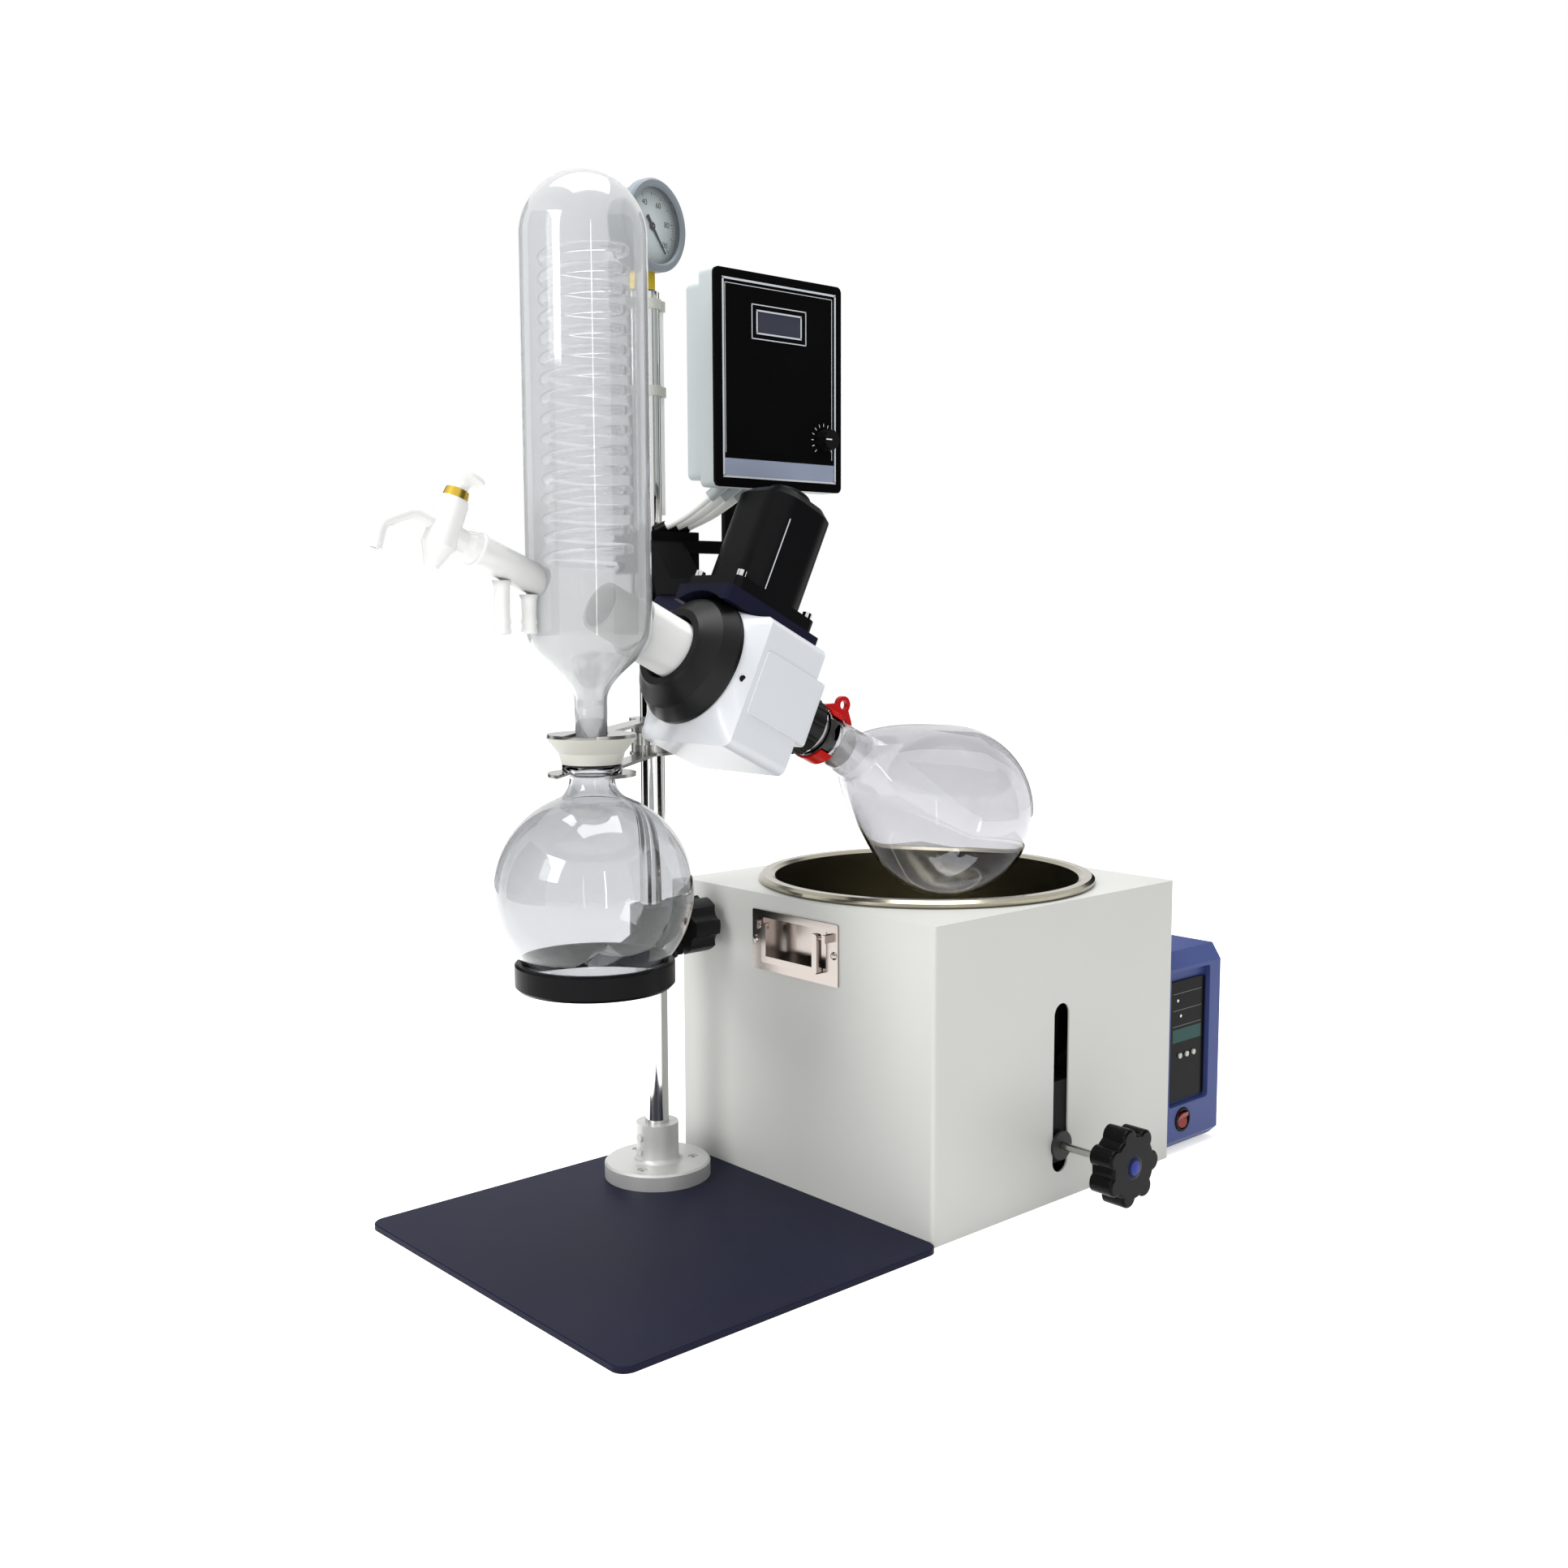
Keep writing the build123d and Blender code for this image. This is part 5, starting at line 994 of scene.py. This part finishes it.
@dataclass
class ControlBox(Assembly):
    """The box with the display and the speed knob, and its three leads."""

    left: float = 10.0
    low: float = 724.0
    width: float = 170.0
    height: float = 210.0
    front: float = -94.0
    border: float = 9.0
    frame_line: float = 1.0
    band_gap: float = 2.2
    band_half: float = 8.3
    inner_size: Pair = (143.0, 166.0)
    inner_rise: float = 8.0
    inner_line: float = 0.35
    lcd_centre: Pair = (93.5, 886.5)
    lcd_half: Pair = (29.0, 10.5)
    lcd_rims: tuple[Point, ...] = ((72.0, 33.0, 0.5), (59.0, 22.0, 0.8))
    knob_x: float = 155.0
    knob_z: float = 777.0
    knob_proud: float = 13.3
    scale: tuple[float, ...] = (15.5, 1.6, 0.3, -45.0, 225.0)
    scale_ticks: int = 13
    pointer: tuple[float, ...] = (-4.5, 0.0, 4.0, 0.6, 0.0)
    lead_radius: float = 4.4
    lead_top: Point = (30.0, -60.0, 716.0)
    lead_foot: Point = (3.0, -24.0, 688.0)
    lead_top_pitch: float = 17.0
    lead_foot_pitch: float = 14.0
    lead_sag: float = 2.5
    looks = {"box_grey": ("control_housing",),
             "panel_black": ("control_bezel", "control_display"),
             "black_plastic": ("speed_knob",)}

    def face(self, proud: float, x: float = 0.0, z: float = 0.0) -> Axis:
        """Give the front panel's plane, a little proud: beside is +X and up is +Z."""
        return Axis((x, self.front - proud, z), (0, -1, 0), (0, 0, 1))

    def leads(self) -> None:
        """Lay the three leads from the box's glands to the gland on the clamp."""
        for number in range(3):
            top = np.array(self.lead_top) + (self.lead_top_pitch * number, 0, 0)
            foot = np.array(self.lead_foot) + (self.lead_foot_pitch * number, 0, 0)
            third, sag = (foot - top) / 3, np.array([0, 0, -self.lead_sag])
            route = np.array([top, top + third + sag, foot - third + sag, foot]) * MM
            curve = bpy.data.curves.new(f"lead_{number + 1}_sleeve", "CURVE")
            curve.dimensions = "3D"
            curve.bevel_depth, curve.bevel_resolution = self.lead_radius * MM, 6
            curve.resolution_u, curve.use_fill_caps = 16, True
            spline = curve.splines.new("NURBS")
            spline.points.add(len(route) - 1)
            spline.points.foreach_set("co", np.hstack([route, np.ones((len(route), 1))]).ravel())
            spline.order_u, spline.use_endpoint_u = 3, True
            curve.materials.append(self.get("white_rubber"))
            piece = place(curve.name, curve, "stand")
            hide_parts(f"lead_{number + 1}")

    def panel(self) -> None:
        """Print the panel: silver lines, the band at its foot, and the display's rims."""
        silver = self.get("silver_line")
        x, z = self.left + self.width / 2, self.low + self.height / 2
        edge = 2 * (self.border + self.frame_line)
        plates("panel_frame_line", self.face(1.2),
               outline_bars((x, z), self.width - edge, self.height - edge, self.frame_line), 0.3,
               silver)
        inset = self.border + self.band_gap
        band = (x, self.low + inset + self.band_half, self.width / 2 - inset, self.band_half, 0)
        plates("panel_band", self.face(0.8), [band], 0.2, self.get("strip_blue"))
        plates("panel_inner_line", self.face(0.0),
               outline_bars((x, z + self.inner_rise), *self.inner_size, self.inner_line), 0.2,
               silver)
        plates("display_window", self.face(0.1), [(*self.lcd_centre, *self.lcd_half, 0)], 0.3,
               self.get("lcd"))
        rims = [outline_bars(self.lcd_centre, *rim) for rim in self.lcd_rims]
        plates("display_rims", self.face(0.8), np.vstack(rims), 0.3, silver)

    def knob_marks(self) -> None:
        """Print the scale round the speed knob, and the mark that turns with the knob."""
        white = self.get("white_print")
        plates("speed_scale", self.face(0.0, self.knob_x, self.knob_z),
               ring_of_ticks(*self.scale, self.scale_ticks), 0.15, white)
        plates("speed_pointer", self.face(self.knob_proud, self.knob_x, self.knob_z),
               [self.pointer], 0.2, white, "speed_dial")

    def make(self) -> None:
        """Print the panel and lay the leads."""
        self.panel()
        self.knob_marks()
        self.leads()


@dataclass
class Bath(Assembly):
    """Casing, tub, handles, lock knob and the controller."""

    panel_front: float = -318.0
    panel_x: float = 500.0
    print_half: float = 27.0
    divider_heights: tuple[float, ...] = (179.0, 160.0, 142.0)
    divider_line: float = 0.35
    display_height: float = 131.0
    display_half: float = 7.5
    lamps: Pairs = ((-18.0, 171.0), (-12.0, 153.0))
    lamp_half: float = 1.4
    lamp_turn: float = 0.8
    knob_centre: Point = (268.0, -418.0, 58.0)
    cap_crown: float = 1.9
    cap_foot: float = -0.4
    cap_radius: float = 11.8
    dome_centre: float = -38.0
    dome_radius: float = 39.9
    dome_sweep: Pair = (3.0, 17.0)
    looks = {"grey_enamel": ("bath_casing",),
             "stainless": ("tub",),
             "carriage_slot_shade": ("lift_carriage",),
             "spindle_with_slot_shade": ("lock_spindle",),
             "knob_black": ("star_knob",),
             "tray_steel": ("handle_tray_left", "handle_tray_right", "handle_bail_left",
                            "handle_bail_right"),
             "blue_plastic": ("controller_housing",),
             "panel_black": ("controller_panel",),
             "white_plastic": ("button_1", "button_2", "button_3"),
             "rocker_red": ("power_rocker",)}

    def cap(self) -> None:
        """Dome the plain blue cap in the middle of the lock knob."""
        dome = arc(self.dome_centre, self.dome_radius, *self.dome_sweep, steps=10)
        profile = np.vstack([(self.cap_crown, 0.0), dome, (self.cap_foot, self.cap_radius),
                             (self.cap_foot, 0.0)])
        lathe("lock_knob_cap", Axis(self.knob_centre, (0, -1, 0), (0, 0, 1)), profile,
              self.get("blue_cap"), segments=48, body="lift_lock")

    def controller(self) -> None:
        """Print the controller's panel: its divider lines, window and small lamps."""
        plane = Axis((self.panel_x, self.panel_front, 0), (0, -1, 0), (0, 0, 1))
        bars = [(0, z, self.print_half, self.divider_line, 0) for z in self.divider_heights]
        plates("controller_lines", plane, bars, 0.15, self.get("grey_print"))
        window = (0, self.display_height, self.print_half, self.display_half, 0)
        plates("controller_display", plane, [window], 0.2, self.get("lcd_green"))
        lamps = [(*spot, self.lamp_half, self.lamp_half, self.lamp_turn) for spot in self.lamps]
        plates("controller_lamps", plane, lamps, 0.3, self.get("white_print"))

    def make(self) -> None:
        """Make the cap and the panel's print."""
        self.cap()
        self.controller()


@dataclass
class Studio:
    """Camera at the photograph's angle, pale floor, white surround and soft lamps."""

    image_width: float = 1932.0
    focal_pixels: float = 1972.9
    sensor: float = 36.0
    azimuth: float = -41.72
    elevation: float = 6.21
    roll: float = -0.21
    camera_place: Point = (-998.5, -1324.3, 603.1)
    middle: Point = (50.0, -100.0, 500.0)
    ambient: float = 0.8
    floor_half: float = 6000.0
    floor_glow: float = 0.5
    card_height: float = 2400.0
    cards = {"left": ((-2900, -120), (-1660, 2380)), "right": ((310, -2980), (2630, -1420)),
             "back_left": ((-700, 2600), (500, 2800)), "back_right": ((2900, 200), (2900, 1400))}
    lamps = (("key", (-2900, -100, 1900), (1400, 1400), 58.0),
             ("strip", (-950, -2100, 700), (60, 1800), 3.0),
             ("top", (100, 100, 2800), (1800, 1800), 56.0))

    def camera(self) -> None:
        """Place the camera from its azimuth, elevation and roll."""
        pose = Matrix.Translation(Vector(self.camera_place) * MM)
        for degrees, axis in ((self.azimuth, "Z"), (90 - self.elevation, "X"), (self.roll, "Z")):
            pose = pose @ Matrix.Rotation(math.radians(degrees), 4, axis)
        data = bpy.data.cameras.new("camera")
        data.sensor_width = self.sensor
        data.lens = self.focal_pixels / self.image_width * self.sensor
        data.clip_start, data.clip_end = 0.01, 50.0
        view = bpy.data.objects.new("camera", data)
        view.matrix_world = pose
        bpy.context.scene.collection.objects.link(view)
        bpy.context.scene.camera = view

    def surround(self) -> None:
        """Light the world softly, and show it white to the camera, to gloss and through glass."""
        world = bpy.data.worlds.new("white surround")
        nodes = Nodes(world)
        path = nodes.node("LightPath").outputs
        seen = nodes.maths("MAXIMUM", path["Is Camera Ray"], path["Is Glossy Ray"])
        shown = nodes.maths("MAXIMUM", seen, path["Is Transmission Ray"])
        light = nodes.add("Background", {"Color": linear("FFFFFF"),
                                         "Strength": nodes.spread(shown, self.ambient, 1.0)})
        nodes.node("OutputWorld", {"Surface": light})
        bpy.context.scene.world = world

    def stage_mesh(self, name: str, corners: list[Point], material: Material) -> Object:
        """Set up one flat sheet of the stage from its four corners."""
        mesh = bpy.data.meshes.new(name)
        mesh.from_pydata((np.array(corners) * MM).tolist(), [], [(0, 1, 2, 3)])
        mesh.materials.append(material)
        return place(name, mesh)

    def floor(self) -> None:
        """Lay the pale floor, white where the camera, gloss or glass sees it unshaded."""
        paint = Paint("white paper sweep")
        diffuse = paint.add("BsdfDiffuse", {"Color": linear("F4F4F3")})
        glow = paint.add("Emission", {"Color": linear("FFFFFF"), "Strength": self.floor_glow})
        both = paint.add("AddShader", {0: diffuse, 1: glow})
        bounced = paint.add("LightPath", output="Is Diffuse Ray")
        half = self.floor_half
        self.stage_mesh("floor", [(-half, -half, 0), (half, -half, 0), (half, half, 0),
                                  (-half, half, 0)],
                        paint.done(paint.blend(bounced, both, diffuse)))

    def flags(self) -> None:
        """Stand dark cards beside the set, unseen by the camera, that edge chrome and glass."""
        paint = Paint("black felt card")
        felt = paint.done(paint.add("BsdfDiffuse", {"Color": linear("060606")}))
        high = self.card_height
        for name, (start, end) in self.cards.items():
            card = self.stage_mesh(f"card_{name}", [(*start, 0), (*end, 0), (*end, high),
                                                    (*start, high)], felt)
            card.visible_camera = card.visible_diffuse = card.visible_shadow = False
            card.visible_transmission = False

    def lamp(self, name: str, spot: Point, size: Pair, power: float) -> None:
        """Hang a soft lamp, so wide and so high, that looks at the machine's middle."""
        data = bpy.data.lights.new(name, "AREA")
        data.shape, data.energy = "RECTANGLE", power
        data.size, data.size_y = (side * MM for side in size)
        lamp = bpy.data.objects.new(name, data)
        lamp.rotation_mode, lamp.location = "QUATERNION", Vector(spot) * MM
        lamp.rotation_quaternion = (Vector(spot) - Vector(self.middle)).to_track_quat("Z", "Y")
        bpy.context.scene.collection.objects.link(lamp)

    def build(self) -> None:
        """Set the camera, the surround, the floor, the cards and the lamps."""
        self.camera()
        self.surround()
        self.floor()
        self.flags()
        for lamp in self.lamps:
            self.lamp(*lamp)
        bpy.context.scene.view_settings.view_transform = "Standard"


def main() -> None:
    """Build the machine's sub-assemblies in order."""
    logging.basicConfig(level=logging.INFO, format="%(name)s: %(message)s")
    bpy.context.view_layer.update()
    finishes = Finishes()
    for assembly in (Stand(finishes), DriveHead(finishes), GlassLine(finishes),
                     ControlBox(finishes), Bath(finishes), Studio()):
        assembly.build()
        log.info("%s built", type(assembly).__name__)


if __name__ == "__main__":
    main()
